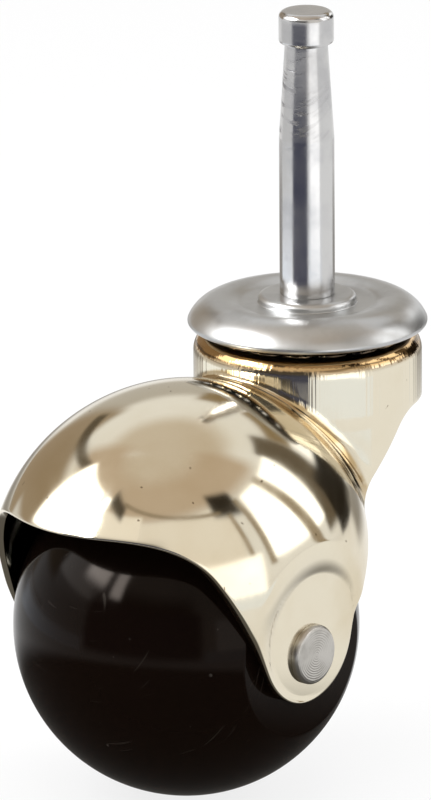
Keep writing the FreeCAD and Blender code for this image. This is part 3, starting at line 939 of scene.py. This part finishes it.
@dataclass(frozen=True)
class BallWheel:
    """Ball with two flat sides, hub faces and a bore for the axle."""

    side: float = 21.6
    edge_round: float = 0.9
    hub: float = 6.5
    hub_height: float = 0.3
    bore: float = 3.235
    hub_round: float = 0.12
    bore_round: float = 0.15
    step: float = 1.5
    columns: int = 256

    def profile(self, radius: float) -> Array:
        """Return the closed profile about the axle.

        The tread is an arc of the ball's radius; an arc of edge_round touches both it
        and the flat side.

        Args:
            radius: Radius of the ball.

        Returns:
            Radius and distance along the axle of each point.
        """
        level = self.side - self.edge_round
        place = np.sqrt((radius - self.edge_round) ** 2 - level**2)
        lean = np.arctan2(level, place)
        face = self.side + self.hub_height
        near = rounded(
            [
                (place, self.side, 0.0),
                (self.hub, self.side, self.hub_round),
                (self.hub, face, self.hub_round),
                (self.bore, face, self.bore_round),
                (self.bore, -face, self.bore_round),
                (self.hub, -face, self.hub_round),
                (self.hub, -self.side, self.hub_round),
                (place, -self.side, 0.0),
            ]
        )
        pieces = [
            arc((0.0, 0.0), radius, -lean, lean, count=150),
            arc((place, level), self.edge_round, lean, QUARTER, count=10)[1:],
            densify(near, self.step)[1:],
            arc((place, -level), self.edge_round, -QUARTER, -lean, count=10)[1:-1],
        ]
        return np.concatenate(pieces)

    def build(self) -> None:
        """Turn the ball about the axle."""
        low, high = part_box("ball_wheel")
        profile = self.profile((high.x - low.x) / (2.0 * MM))
        middle = middle_of("ball_wheel")
        thing = turned("moulded_ball", profile, Axis.AXLE, middle, self.columns)
        settle(thing, BallPlastic().make(), Body.WHEEL, "ball_wheel")


@dataclass(frozen=True)
class Axle:
    """Axle with a faced head against each ear."""

    shaft: float = 3.175
    head: float = 4.35
    head_height: float = 1.1
    head_round: float = 0.65
    under_round: float = 0.08
    step: float = 0.5
    columns: int = 96

    def build(self) -> None:
        """Turn the axle about Y."""
        low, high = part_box("axle_pin")
        middle = middle_of("axle_pin")
        end = (high.y - low.y) / (2.0 * MM)
        face = end - self.head_height
        corners = [
            (0.0, -end, 0.0),
            (self.head, -end, self.head_round),
            (self.head, -face, self.under_round),
            (self.shaft, -face, NOOK),
            (self.shaft, face, NOOK),
            (self.head, face, self.under_round),
            (self.head, end, self.head_round),
            (0.0, end, 0.0),
        ]
        profile = densify(rounded(corners), self.step)
        thing = turned("faced_axle", profile, Axis.AXLE, middle, self.columns)
        finish = TurnedSteel(tuple(middle * MM)).make()
        settle(thing, finish, Body.HOOD, "axle_pin")


@dataclass(frozen=True)
class Outline:
    """Side outline that the hood is trimmed to, from the front lip to the neck."""

    lip: float = -23.2
    brow_radius: float = 11.0
    ear_x: float = -27.8
    ear_z: float = -40.2
    ear_radius: float = 10.3
    front_angle: float = 63.0
    rear_angle: float = 75.0
    hip_radius: float = 6.0
    slant_angle: float = 51.0
    throat_radius: float = 6.0
    throat_x: float = 2.6
    neck_end: float = -15.3
    step: float = 0.3
    end_points: int = 200

    def line(self, front: float, back: float) -> Array:
        """Return the outline as points in X and Z.

        The ear's straight edges touch its round end; the corners between edges are
        rounded. Points crowd together at both ends as 1 - cos(t) and sin(t), where the
        outline meets the middle plane of the hood.

        Args:
            front: X of the lip on the middle plane.
            back: X of the neck on the middle plane.

        Returns:
            The points from front to back.
        """
        fore = np.radians(self.front_angle)
        aft = np.radians(self.rear_angle)
        slant = np.radians(self.slant_angle)
        ear = np.array([self.ear_x, self.ear_z])
        fore_touch = ear + self.ear_radius * np.array([-np.sin(fore), -np.cos(fore)])
        aft_touch = ear + self.ear_radius * np.array([np.sin(aft), -np.cos(aft)])
        brow_x = fore_touch[0] - (self.lip - fore_touch[1]) / np.tan(fore)
        aft_way = np.array([np.cos(aft), np.sin(aft)])
        slant_way = np.array([np.cos(slant), np.sin(slant)])
        throat = np.array([self.throat_x, self.neck_end])
        gap = throat - aft_touch
        cross = aft_way[0] * slant_way[1] - aft_way[1] * slant_way[0]
        hip = aft_touch + aft_way * (gap[0] * slant_way[1] - gap[1] * slant_way[0]) / cross
        brow_start = brow_x - self.brow_radius * np.tan(0.5 * fore)
        throat_end = self.throat_x + self.throat_radius * np.tan(0.5 * slant)
        brow = (brow_x, self.lip, self.brow_radius)
        near = rounded([(front, self.lip, 0.0), brow, (*fore_touch, 0.0)], count=40)
        far = rounded(
            [
                (*aft_touch, 0.0),
                (*hip, self.hip_radius),
                (*throat, self.throat_radius),
                (back, self.neck_end, 0.0),
            ],
            count=30,
        )
        turn = np.linspace(0.0, QUARTER, self.end_points)
        lip_x = front + (brow_start - front) * (1.0 - np.cos(turn))
        neck_x = throat_end + (back - throat_end) * np.sin(turn)
        low = -QUARTER - fore
        high = aft - QUARTER
        pieces = [
            np.stack([lip_x, np.full_like(lip_x, self.lip)], -1),
            densify(near[2:], self.step),
            arc((self.ear_x, self.ear_z), self.ear_radius, low, high, count=120)[1:],
            densify(far[:-1], self.step)[1:],
            np.stack([neck_x, np.full_like(neck_x, self.neck_end)], -1)[1:],
        ]
        return np.concatenate(pieces)


@dataclass(frozen=True)
class Hood:
    """One-piece drawn hood: neck, dome, skirt and two pressed-in ears of one sheet."""

    sheet: float = 1.3
    neck: float = 16.6
    crown: float = -5.2
    crown_round: float = 3.2
    crease_front: float = 1.1
    crease_side: float = 3.2
    crease_turn: float = 1.5
    dome_x: float = -28.8
    dome_z: float = -35.05
    dome_length: float = 30.2
    dome_width: float = 25.6
    dome_height: float = 27.6
    pad_x: float = -26.9
    pad_z: float = -41.0
    pad_flat: float = 8.9
    pad_slope: float = 35.0
    pad_blend: float = 1.4
    pad_crest: float = 2.2
    ear_face: float = 23.4
    hole: float = 3.58
    axle_hole: float = 3.225
    race: float = 12.5
    race_z: float = -4.35
    race_section: float = 2.36
    edge_round: float = 0.4
    heart: Triple = (0.0, 0.0, -33.0)
    inner_heart: Triple = (-2.0, 0.0, -33.0)
    side_reach: float = 40.0
    end_reach: float = 60.0
    skin_reach: float = 90.0
    slope_step: float = 0.02
    halvings: int = 44
    half_columns: int = 176
    rows: int = 200
    inner_rows: int = 48
    edge_rows: int = 7
    hole_columns: int = 64

    def field(self, points: Array, inset: float) -> Array:
        """Return how far points lie outside the form of the hood.

        With q the place over the half axes a of the oval, the dome is
        d = |q| (|q| - 1) / |q / a|; the neck is n, a cylinder with a rounded crown.
        They join as max(c, min(d, n)) - hypot(max(c - d, 0), max(c - n, 0)), where the
        blend c grows from the front to the sides. The ears cut it with the cone
        h = |y| - face - rise(r), and the race with a ring of round section.

        Args:
            points: Points in mm; the last axis is X, Y, Z.
            inset: How far the form is drawn in from the outside of the hood.

        Returns:
            Distance outside the form, below zero within it.
        """
        x, y, z = np.moveaxis(points, -1, 0)
        half = np.array([self.dome_length, self.dome_width, self.dome_height]) - inset
        local = np.stack([x - self.dome_x, y, np.maximum(z - self.dome_z, 0.0)], -1) / half
        size = np.maximum(np.linalg.norm(local, axis=-1), SMALL)
        dome = size * (size - 1.0) / np.maximum(np.linalg.norm(local / half, axis=-1), TINY)

        bend = self.crown_round - inset
        out = np.hypot(x, y) - (self.neck - inset) + bend
        up = z - (self.crown - inset) + bend
        neck = np.minimum(np.maximum(out, up), 0.0) - bend
        neck = neck + np.hypot(np.maximum(out, 0.0), np.maximum(up, 0.0))

        aside = np.clip(np.abs(np.arctan2(y, -x)) / self.crease_turn, 0.0, 1.0)
        blend = self.crease_front + (self.crease_side - self.crease_front) * aside + inset
        near_dome = np.maximum(blend - dome, 0.0)
        near_neck = np.maximum(blend - neck, 0.0)
        form = np.maximum(blend, np.minimum(dome, neck)) - np.hypot(near_dome, near_neck)

        lean = np.radians(self.pad_slope)
        bow = self.pad_blend + inset
        away = np.maximum(np.hypot(x - self.pad_x, z - self.pad_z) - self.pad_flat, 0.0)
        start = bow * np.sin(lean)
        curve = bow - np.sqrt(np.maximum(bow**2 - np.minimum(away, start) ** 2, 0.0))
        rise = curve + np.maximum(away - start, 0.0) * np.tan(lean)
        square = np.where(away > start, np.cos(lean), 1.0)
        pad = (np.abs(y) - (self.ear_face - inset) - rise) * square
        crest = self.pad_crest - inset
        over = np.hypot(np.maximum(form + crest, 0.0), np.maximum(pad + crest, 0.0))
        form = np.minimum(np.maximum(form, pad), -crest) + over

        ring = np.hypot(np.hypot(x, y) - self.race, z - self.race_z) - self.race_section - inset
        return np.maximum(form, -ring)

    def along(self, start: Array, way: Array, inset: float, far: float) -> Array:
        """Return where rays leave the form, by halving the span that holds the place.

        Args:
            start: Points inside the form.
            way: Direction of each ray.
            inset: How far the form is drawn in.
            far: Length of the rays.

        Returns:
            One point a ray, on the form.
        """
        low = np.zeros(way.shape[:-1])
        high = np.full(way.shape[:-1], far)
        for _ in range(self.halvings):
            half = 0.5 * (low + high)
            inside = self.field(start + way * half[..., None], inset) < 0.0
            low = np.where(inside, half, low)
            high = np.where(inside, high, half)
        return start + way * low[..., None]

    def normal(self, points: Array, inset: float) -> Array:
        """Return the outward direction of the form, from differences of the field.

        Args:
            points: Points on the form.
            inset: How far the form is drawn in.

        Returns:
            One unit direction a point.
        """
        shifts = np.eye(3) * self.slope_step
        slope = [self.field(points + s, inset) - self.field(points - s, inset) for s in shifts]
        way = np.stack(slope, -1)
        return way / np.linalg.norm(way, axis=-1, keepdims=True)

    def trim(self, inset: float, spots: Array) -> Array:
        """Return the trimmed edge of one half of the hood.

        Args:
            inset: How far the form is drawn in.
            spots: Points of the outline in X and Z.

        Returns:
            The points of the edge on the form, at Y above zero.
        """
        start = np.stack([spots[:, 0], np.zeros(len(spots)), spots[:, 1]], -1)
        way = np.broadcast_to(np.array([0.0, 1.0, 0.0]), start.shape)
        edge = self.along(start, way, inset, self.side_reach)
        edge[[0, -1], 1] = 0.0
        return edge

    def spaced_outline(self, inset: float) -> Array:
        """Return points of the outline, evenly spaced along the edge of the form.

        Args:
            inset: How far the form is drawn in.

        Returns:
            half_columns points in X and Z, from the front lip to the back of the neck.
        """
        middle = np.array([[self.dome_x, 0.0, Outline.lip], [0.0, 0.0, Outline.neck_end]])
        way = np.array([[-1.0, 0.0, 0.0], [1.0, 0.0, 0.0]])
        ends = self.along(middle, way, inset, self.end_reach)
        spots = Outline().line(ends[0, 0] + SMALL, ends[1, 0] - SMALL)
        edge = self.trim(inset, spots)
        run = np.concatenate([[0.0], np.cumsum(np.linalg.norm(np.diff(edge, axis=0), axis=1))])
        even = np.linspace(0.0, run[-1], self.half_columns)
        return np.stack([np.interp(even, run, spots[:, 0]), np.interp(even, run, spots[:, 1])], -1)

    def skin(self, heart: Array, edge: Array, inset: float, rows: int) -> Array:
        """Return one skin of half the hood, from the hole in the crown to the edge.

        Each column turns from the direction of the hole's rim to that of the edge, seen
        from a heart inside the form: w(t) = (sin((1 - t) a) w0 + sin(t a) w1) / sin(a).
        The point is where the ray along w leaves the form.

        Args:
            heart: Point inside the form.
            edge: Points of the edge.
            inset: How far the form is drawn in.
            rows: Number of points in a column.

        Returns:
            Points in rows and columns.
        """
        turn = np.arctan2(edge[:, 1], edge[:, 0])
        turn[-1] = 0.0
        turn[0] = np.pi
        rim = np.stack([self.hole * np.cos(turn), self.hole * np.sin(turn)], -1)
        rim = np.concatenate([rim, np.full((len(turn), 1), self.crown - inset)], -1)
        first = rim - heart
        first = first / np.linalg.norm(first, axis=-1, keepdims=True)
        last = edge - heart
        last = last / np.linalg.norm(last, axis=-1, keepdims=True)
        swing = np.arccos(np.clip(np.einsum("ij,ij->i", first, last), -1.0, 1.0))
        t = np.linspace(0.0, 1.0, rows)[:, None]
        fore = (np.sin((1.0 - t) * swing) / np.sin(swing))[..., None]
        aft = (np.sin(t * swing) / np.sin(swing))[..., None]
        points = self.along(heart, fore * first + aft * last, inset, self.skin_reach)
        points[:, [0, -1], 1] = 0.0
        return points

    def half(self) -> Array:
        """Return half of the hood as a grid: outer skin, rolled edge, then inner skin.

        The edge is two parabolas (1-t)^2 a + 2 t (1-t) b + t^2 c round its two corners.

        Returns:
            Points in rows and columns, at Y above or at zero.
        """
        outer_edge = self.trim(0.0, self.spaced_outline(0.0))
        inner_edge = self.trim(self.sheet, self.spaced_outline(self.sheet))
        across = inner_edge - outer_edge
        across = across / np.linalg.norm(across, axis=-1, keepdims=True)
        way = np.gradient(outer_edge, axis=0)
        way[[0, -1]] = np.array([0.0, 1.0, 0.0]) * np.sign(way[[0, -1], 1:2])
        outwards = np.cross(self.normal(outer_edge, 0.0), way)
        outwards = outwards / np.linalg.norm(outwards, axis=-1, keepdims=True)
        outwards = outwards * np.sign(-outwards[:, 2:3] + TINY)
        t = np.linspace(0.0, 1.0, self.edge_rows)[:, None, None]
        keep, bend, leave = (1.0 - t) ** 2, 2.0 * t * (1.0 - t), t**2
        near = outer_edge - self.edge_round * outwards
        outer = self.skin(np.array(self.heart), near, 0.0, self.rows)
        outer_cut = outer_edge + self.edge_round * across
        roll = keep * outer[-1] + bend * outer_edge + leave * outer_cut
        inner_near = inner_edge - 0.5 * self.edge_round * outwards
        inner = self.skin(np.array(self.inner_heart), inner_near, self.sheet, self.inner_rows)
        inner_cut = inner_edge - 0.5 * self.edge_round * across
        fall = keep * inner_cut + bend * inner_edge + leave * inner[-1]
        return np.concatenate([outer, roll[1:], fall, inner[::-1][1:]])

    def bore_ears(self, thing: bpy.types.Object) -> None:
        """Cut the axle holes out of both ears with one round cutter.

        Args:
            thing: The hood.
        """
        low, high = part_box("axle_pin")
        middle = middle_of("axle_pin")
        end = (high.y - low.y) / MM
        wall = self.axle_hole
        profile = np.array([(0.0, -end), (wall, -end), (wall, end), (0.0, end)])
        cutter = turned("axle_hole", profile, Axis.AXLE, middle, self.hole_columns)
        cut = thing.modifiers.new("axle_hole", "BOOLEAN")
        cut.operation = "DIFFERENCE"
        cut.solver = "EXACT"
        cut.object = cutter
        ready = thing.evaluated_get(bpy.context.evaluated_depsgraph_get())
        bored = bpy.data.meshes.new_from_object(ready)
        thing.modifiers.clear()
        whole = thing.data
        thing.data = bored
        bpy.data.meshes.remove(whole)
        bored.name = thing.name
        bpy.data.objects.remove(cutter)

    def build(self) -> None:
        """Mirror the half and close it into one surface."""
        half = self.half()
        other = half[:, -2:0:-1] * np.array([1.0, -1.0, 1.0])
        grid = np.concatenate([half, other], axis=1)
        faces = [grid_quads(grid.shape[0], grid.shape[1], True)]
        thing = add_surface("drawn_hood", grid.reshape(-1, 3), faces)
        self.bore_ears(thing)
        settle(thing, BrassPlate().make(), Body.HOOD, "hood")


# Studio

BROWN = (1.0, 0.80, 0.55)
TAN = (1.0, 0.82, 0.64)
SAND = (1.0, 0.89, 0.76)
UMBER = (1.0, 0.80, 0.58)
OCHRE = (1.0, 0.72, 0.36)
CREAM = (1.0, 0.95, 0.88)
COOL = (0.8, 0.85, 1.3)
WHITE = (1.0, 1.0, 1.0)
DAYLIGHT = (0.94, 1.0, 1.08)


def smooth(share: Array) -> Array:
    """Return 3 f^2 - 2 f^3, with f the share held between 0 and 1."""
    held = np.clip(share, 0.0, 1.0)
    return held**2 * (3.0 - 2.0 * held)


def facing(azimuth: Array | float, elevation: Array | float) -> Array:
    """Return the direction (sin a cos e, -cos a cos e, sin e) of angles in degrees."""
    a, e = np.radians(azimuth), np.radians(elevation)
    return np.stack([np.sin(a) * np.cos(e), -np.cos(a) * np.cos(e), np.sin(e)], -1)


def bare_material(name: str) -> bpy.types.Material:
    """Add a material without nodes.

    Args:
        name: Name of the material.

    Returns:
        The material.
    """
    material = bpy.data.materials.new(name)
    material.use_nodes = True
    material.node_tree.nodes.clear()
    return material


def add_glow(tree: bpy.types.NodeTree, tint: Triple, strength: float) -> bpy.types.Node:
    """Add a shader that glows.

    Args:
        tree: Node tree that it goes into.
        tint: Colour of its light.
        strength: Strength of its light.

    Returns:
        The shader's node.
    """
    glow = tree.nodes.new("ShaderNodeEmission")
    glow.inputs["Color"].default_value = (*tint, 1.0)
    glow.inputs["Strength"].default_value = strength
    return glow


def show_mix(
    tree: bpy.types.NodeTree,
    share: Socket,
    first: bpy.types.Node,
    second: bpy.types.Node,
    end: str = "ShaderNodeOutputMaterial",
) -> None:
    """Finish a node tree with a mix of two shaders.

    Args:
        tree: The node tree.
        share: Share of the second shader.
        first: Node of the first shader.
        second: Node of the second shader.
        end: Type of the output node.
    """
    mix = tree.nodes.new("ShaderNodeMixShader")
    tree.links.new(share, mix.inputs["Fac"])
    tree.links.new(first.outputs[0], mix.inputs[1])
    tree.links.new(second.outputs[0], mix.inputs[2])
    output = tree.nodes.new(end)
    tree.links.new(mix.outputs["Shader"], output.inputs["Surface"])


def add_panel(name: str, points: Array, cover: Array, tint: Triple, strength: float) -> None:
    """Add a glowing panel that only mirrors see.

    Args:
        name: Name of the panel.
        points: Grid of points in mm.
        cover: How much of the panel is there at each point.
        tint: Colour of its light.
        strength: Strength of its light.
    """
    rows, columns = cover.shape
    row, column = np.meshgrid(np.arange(rows - 1), np.arange(columns - 1), indexing="ij")
    first = (row * columns + column).ravel()
    quads = np.stack([first, first + columns, first + columns + 1, first + 1], -1)
    mesh = bpy.data.meshes.new(name)
    mesh.from_pydata((points.reshape(-1, 3) * MM).tolist(), [], quads.tolist())
    mesh.attributes.new("cover", "FLOAT", "POINT").data.foreach_set("value", cover.ravel())
    material = bare_material(name)
    tree = material.node_tree
    share = tree.nodes.new("ShaderNodeAttribute")
    share.attribute_name = "cover"
    clear = tree.nodes.new("ShaderNodeBsdfTransparent")
    show_mix(tree, share.outputs["Fac"], clear, add_glow(tree, tint, strength))
    mesh.materials.append(material)
    panel = put(name, mesh)
    panel.visible_camera = False
    panel.visible_diffuse = False
    panel.visible_shadow = False


@dataclass(frozen=True)
class Card:
    """A bent panel of the studio, seen only in what the castor mirrors; angles in degrees."""

    name: str
    azimuth: Pair
    elevation: Pair
    strength: float
    tint: Triple = WHITE
    reach: float = 1500.0
    lean: float = 0.0
    skew: float = 0.0
    soft: float = 2.0
    steps: int = 40

    def build(self, middle: Array) -> None:
        """Bend the panel round the castor: middle + reach (sin a cos e, -cos a cos e, sin e).

        Its edges fade out: with f the distance from an edge over soft, the cover of the
        panel is 3 f^2 - 2 f^3 for each direction.

        Args:
            middle: Point that the panel is bent round.
        """
        share = np.linspace(0.0, 1.0, self.steps + 1)
        a, e = np.meshgrid(share, share, indexing="ij")
        low, high = self.elevation
        left, right = self.azimuth
        rise = low + (high - low) * e + self.lean * (a - 0.5)
        turn = left + (right - left) * a + self.skew * (e - 0.5)
        points = middle + self.reach * facing(turn, rise)
        sides = np.minimum(a, 1.0 - a) * (right - left) / self.soft
        ends = np.minimum(e, 1.0 - e) * (high - low) / self.soft
        add_panel(self.name, points, smooth(sides) * smooth(ends), self.tint, self.strength)


@dataclass(frozen=True)
class FloorShade:
    """A round dim panel on the floor, seen only in what the castor mirrors: painted shade of the
    floor round the ball.
    """

    name: str
    middle: Pair
    full: float
    reach: float
    strength: float
    tint: Triple
    lift: float = 0.2
    steps: int = 40

    def build(self, floor: float) -> None:
        """Lay the painted shade: middle + s reach (cos u, sin u), fading out from full to reach.

        Args:
            floor: Level of the floor.
        """
        share = np.linspace(0.0, 1.0, self.steps + 1)
        s, u = np.meshgrid(share, 2.0 * np.pi * share, indexing="ij")
        across = self.middle[0] + s * self.reach * np.cos(u)
        aside = self.middle[1] + s * self.reach * np.sin(u)
        points = np.stack([across, aside, np.full_like(s, floor + self.lift)], -1)
        cover = smooth((1.0 - s) * self.reach / (self.reach - self.full))
        add_panel(self.name, points, cover, self.tint, self.strength)


@dataclass(frozen=True)
class Lamp:
    """A soft lamp that lights what isn't metal; angles in degrees."""

    name: str
    azimuth: float
    elevation: float
    power: float
    distance: float = 600.0
    width: float = 420.0

    def build(self, middle: Array) -> None:
        """Hang the lamp and turn it to the castor.

        Args:
            middle: Point that the lamp looks at.
        """
        way = Vector(facing(self.azimuth, self.elevation))
        light = bpy.data.lights.new(self.name, "AREA")
        light.energy = self.power
        light.size = self.width * MM
        lamp = put(self.name, light)
        lamp.location = Vector(middle * MM) + way * self.distance * MM
        lamp.rotation_euler = (-way).to_track_quat("-Z", "Y").to_euler()
        lamp.visible_camera = False
        lamp.visible_glossy = False


CARDS = [
    Card("softbox_left", (-162.0, -99.0), (16.0, 58.0), 3.2, soft=3.0),
    Card("pane_left", (-140.0, -110.0), (24.0, 56.0), 24.0, WHITE, 1450.0, soft=8.0),
    Card("pane_right", (-111.0, -97.0), (22.0, 46.0), 20.0, WHITE, 1450.0, soft=5.0),
    Card("softbox_left_gap", (-116.0, -108.0), (10.0, 60.0), 1.2, WHITE, 1400.0, soft=3.0),
    Card("wall_left", (-101.0, -59.0), (25.0, 51.0), 1.1, CREAM, 1600.0),
    Card("flag_left_top", (-103.0, -77.0), (48.0, 61.0), 0.08, BROWN, 1300.0, -10.0, soft=4.5),
    Card("wall_front", (-61.0, 10.0), (-5.0, 47.0), 1.0, CREAM, 1600.0),
    Card("rail_front", (-84.0, 4.0), (47.0, 50.6), 0.30, BROWN, 1300.0, -16.0, soft=1.5),
    Card("flag_front_right", (-5.0, 19.0), (35.0, 54.0), 0.03, BROWN, 1300.0, -6.0, soft=5.0),
    Card("post_front", (8.5, 12.5), (3.0, 39.0), 0.40, BROWN, 1300.0, 0.0, -6.0, 1.2),
    Card("post_right", (17.5, 22.5), (5.0, 44.0), 0.36, BROWN, 1300.0, 0.0, -6.0, 1.2),
    Card("softbox_right", (21.0, 65.0), (7.0, 44.0), 2.4),
    Card("bar_right", (44.0, 53.0), (-5.0, 45.0), 0.38, BROWN, 1300.0, 0.0, -16.0, 2.0),
    Card("wall_right", (62.0, 83.0), (1.0, 48.0), 0.15, BROWN, 1600.0, soft=3.0),
    Card("flag_right", (71.0, 100.0), (-6.0, 18.0), 0.02, BROWN, 900.0, -4.0, soft=3.0),
    Card("glow_right", (83.0, 107.0), (10.0, 28.0), 1.6, WHITE, 1300.0),
    Card("wall_gold", (80.0, 124.0), (26.0, 40.0), 0.30, OCHRE, 1500.0, soft=3.0),
    Card("ceiling_front", (-186.0, 58.0), (40.0, 78.0), 0.64, TAN, 1900.0, soft=12.0),
    Card("ceiling", (-200.0, 200.0), (52.0, 106.0), 0.73, SAND, 1950.0, soft=14.0),
    Card("wall_back", (102.0, 162.0), (2.0, 38.0), 0.58, CREAM, 1850.0, soft=9.0),
    Card("corner_back", (144.0, 204.0), (-8.0, 42.0), 0.40, UMBER, 1800.0, soft=8.0),
    Card("beam_back", (150.0, 199.0), (35.0, 44.0), 0.13, BROWN, 1500.0, 24.0, soft=3.0),
    Card("room_front", (-128.0, -36.0), (-8.0, 38.0), 0.10, CREAM, 1500.0, soft=15.0),
    Card("floor_left", (-187.0, -117.0), (-16.0, -7.0), 1.35, DAYLIGHT, 190.0),
    Card("strip_left", (-182.0, -114.0), (-9.0, 10.0), 0.80, WHITE, 190.0, soft=6.0),
    Card("floor_right", (-41.0, 21.0), (-16.0, -7.0), 1.12, DAYLIGHT, 190.0),
    Card("strip_right", (-34.0, 12.0), (-11.0, 12.0), 1.9, WHITE, 190.0, soft=3.0),
    Card("floor_back", (80.0, 182.0), (-16.0, 1.0), 0.35, CREAM, 190.0, soft=7.0),
    Card("table_front", (-117.0, -39.0), (-17.5, 16.0), 0.09, COOL, 150.0, soft=6.0),
]

# Dim disc round the ball: painted shade of the floor, seen only in reflections.
FLOOR_SHADE = FloorShade("floor_shade_disc", (-70.0, -10.0), 75.0, 115.0, 0.12, CREAM)

LAMPS = [
    Lamp("lamp_left", -125.0, 42.0, 2.0),
    Lamp("lamp_right", 45.0, 30.0, 1.2),
    Lamp("lamp_top", -40.0, 80.0, 1.2),
]


@dataclass(frozen=True)
class Studio:
    """White floor, white surroundings, panels and lamps."""

    middle: Triple = (-20.0, 0.0, -20.0)
    floor_width: float = 8.0
    floor_colour: float = 0.9
    floor_glow: float = 0.82
    world_level: float = 0.75

    def seen(self, tree: bpy.types.NodeTree) -> Socket:
        """Return 1 for rays from the camera, a mirror or glass, and 0 for others.

        Args:
            tree: Node tree to add the nodes to.

        Returns:
            The value.
        """
        path = tree.nodes.new("ShaderNodeLightPath")
        value = path.outputs["Is Camera Ray"]
        for name in ("Is Glossy Ray", "Is Transmission Ray"):
            either = tree.nodes.new("ShaderNodeMath")
            either.operation = "MAXIMUM"
            tree.links.new(value, either.inputs[0])
            tree.links.new(path.outputs[name], either.inputs[1])
            value = either.outputs["Value"]
        return value

    def lay_floor(self) -> None:
        """Lay a pale floor under the ball that shows white and keeps the shadow."""
        low, _ = CAD_BOX
        reach = 0.5 * self.floor_width
        spots = [(-reach, -reach), (reach, -reach), (reach, reach), (-reach, reach)]
        mesh = bpy.data.meshes.new("floor")
        mesh.from_pydata([(x, y, low.z) for x, y in spots], [], [(0, 1, 2, 3)])
        material = bare_material("floor_white")
        tree = material.node_tree
        matt = tree.nodes.new("ShaderNodeBsdfDiffuse")
        matt.inputs["Color"].default_value = (self.floor_colour,) * 3 + (1.0,)
        share = tree.nodes.new("ShaderNodeMath")
        share.operation = "MULTIPLY"
        share.inputs[1].default_value = self.floor_glow
        tree.links.new(self.seen(tree), share.inputs[0])
        show_mix(tree, share.outputs["Value"], matt, add_glow(tree, WHITE, 1.0))
        mesh.materials.append(material)
        put("floor", mesh)

    def light_world(self) -> None:
        """Make the surroundings white where they are seen and soft where they light."""
        world = bpy.data.worlds.new("studio")
        bpy.context.scene.world = world
        world.use_nodes = True
        tree = world.node_tree
        tree.nodes.clear()
        shades = []
        for strength in (self.world_level, 1.0):
            shade = tree.nodes.new("ShaderNodeBackground")
            shade.inputs["Color"].default_value = (*WHITE, 1.0)
            shade.inputs["Strength"].default_value = strength
            shades.append(shade)
        show_mix(tree, self.seen(tree), *shades, "ShaderNodeOutputWorld")

    def build(self) -> None:
        """Put up the whole studio."""
        middle = np.array(self.middle)
        self.lay_floor()
        self.light_world()
        for thing in (*CARDS, *LAMPS):
            thing.build(middle)
        FLOOR_SHADE.build(CAD_BOX[0].z / MM)
        LOG.info("studio: %d panels and %d lamps", len(CARDS) + 1, len(LAMPS))


@dataclass(frozen=True)
class PhotoCamera:
    """Camera of the photograph; angles in degrees."""

    azimuth: float = -49.54
    elevation: float = 16.44
    roll: float = -0.40
    distance: float = 1500.0
    lens: float = 311.5
    sensor: float = 24.0
    clip_end: float = 20.0
    aim: Triple = (-15.756, 4.202, -13.443)

    def build(self) -> None:
        """Set the camera up, looking back along its direction and turned by the roll."""
        a, r = np.radians([self.azimuth, self.roll])
        back = facing(self.azimuth, self.elevation)
        level = np.array([np.cos(a), np.sin(a), 0.0])
        up = np.cross(back, level)
        right = level * np.cos(r) + up * np.sin(r)
        above = up * np.cos(r) - level * np.sin(r)
        lens = bpy.data.cameras.new("photo_camera")
        lens.lens = self.lens
        lens.sensor_fit = "AUTO"
        lens.sensor_width = self.sensor
        lens.clip_end = self.clip_end
        camera = put("photo_camera", lens)
        place = (np.array(self.aim) + self.distance * back) * MM
        turn = Matrix(np.stack([right, above, back], -1).tolist()).to_4x4()
        camera.matrix_world = Matrix.Translation(Vector(place)) @ turn
        bpy.context.scene.camera = camera
        LOG.info("camera: %.1f mm lens at %.0f mm", self.lens, self.distance)


def main() -> None:
    """Build the pieces, the studio and the camera in order."""
    logging.basicConfig(level=logging.INFO, format="%(name)s: %(message)s")
    bpy.context.scene.view_settings.view_transform = "Standard"
    Stem().build()
    Flange().build()
    Swivel().build()
    Hood().build()
    Axle().build()
    BallWheel().build()
    Studio().build()
    PhotoCamera().build()


if __name__ == "__main__":
    main()
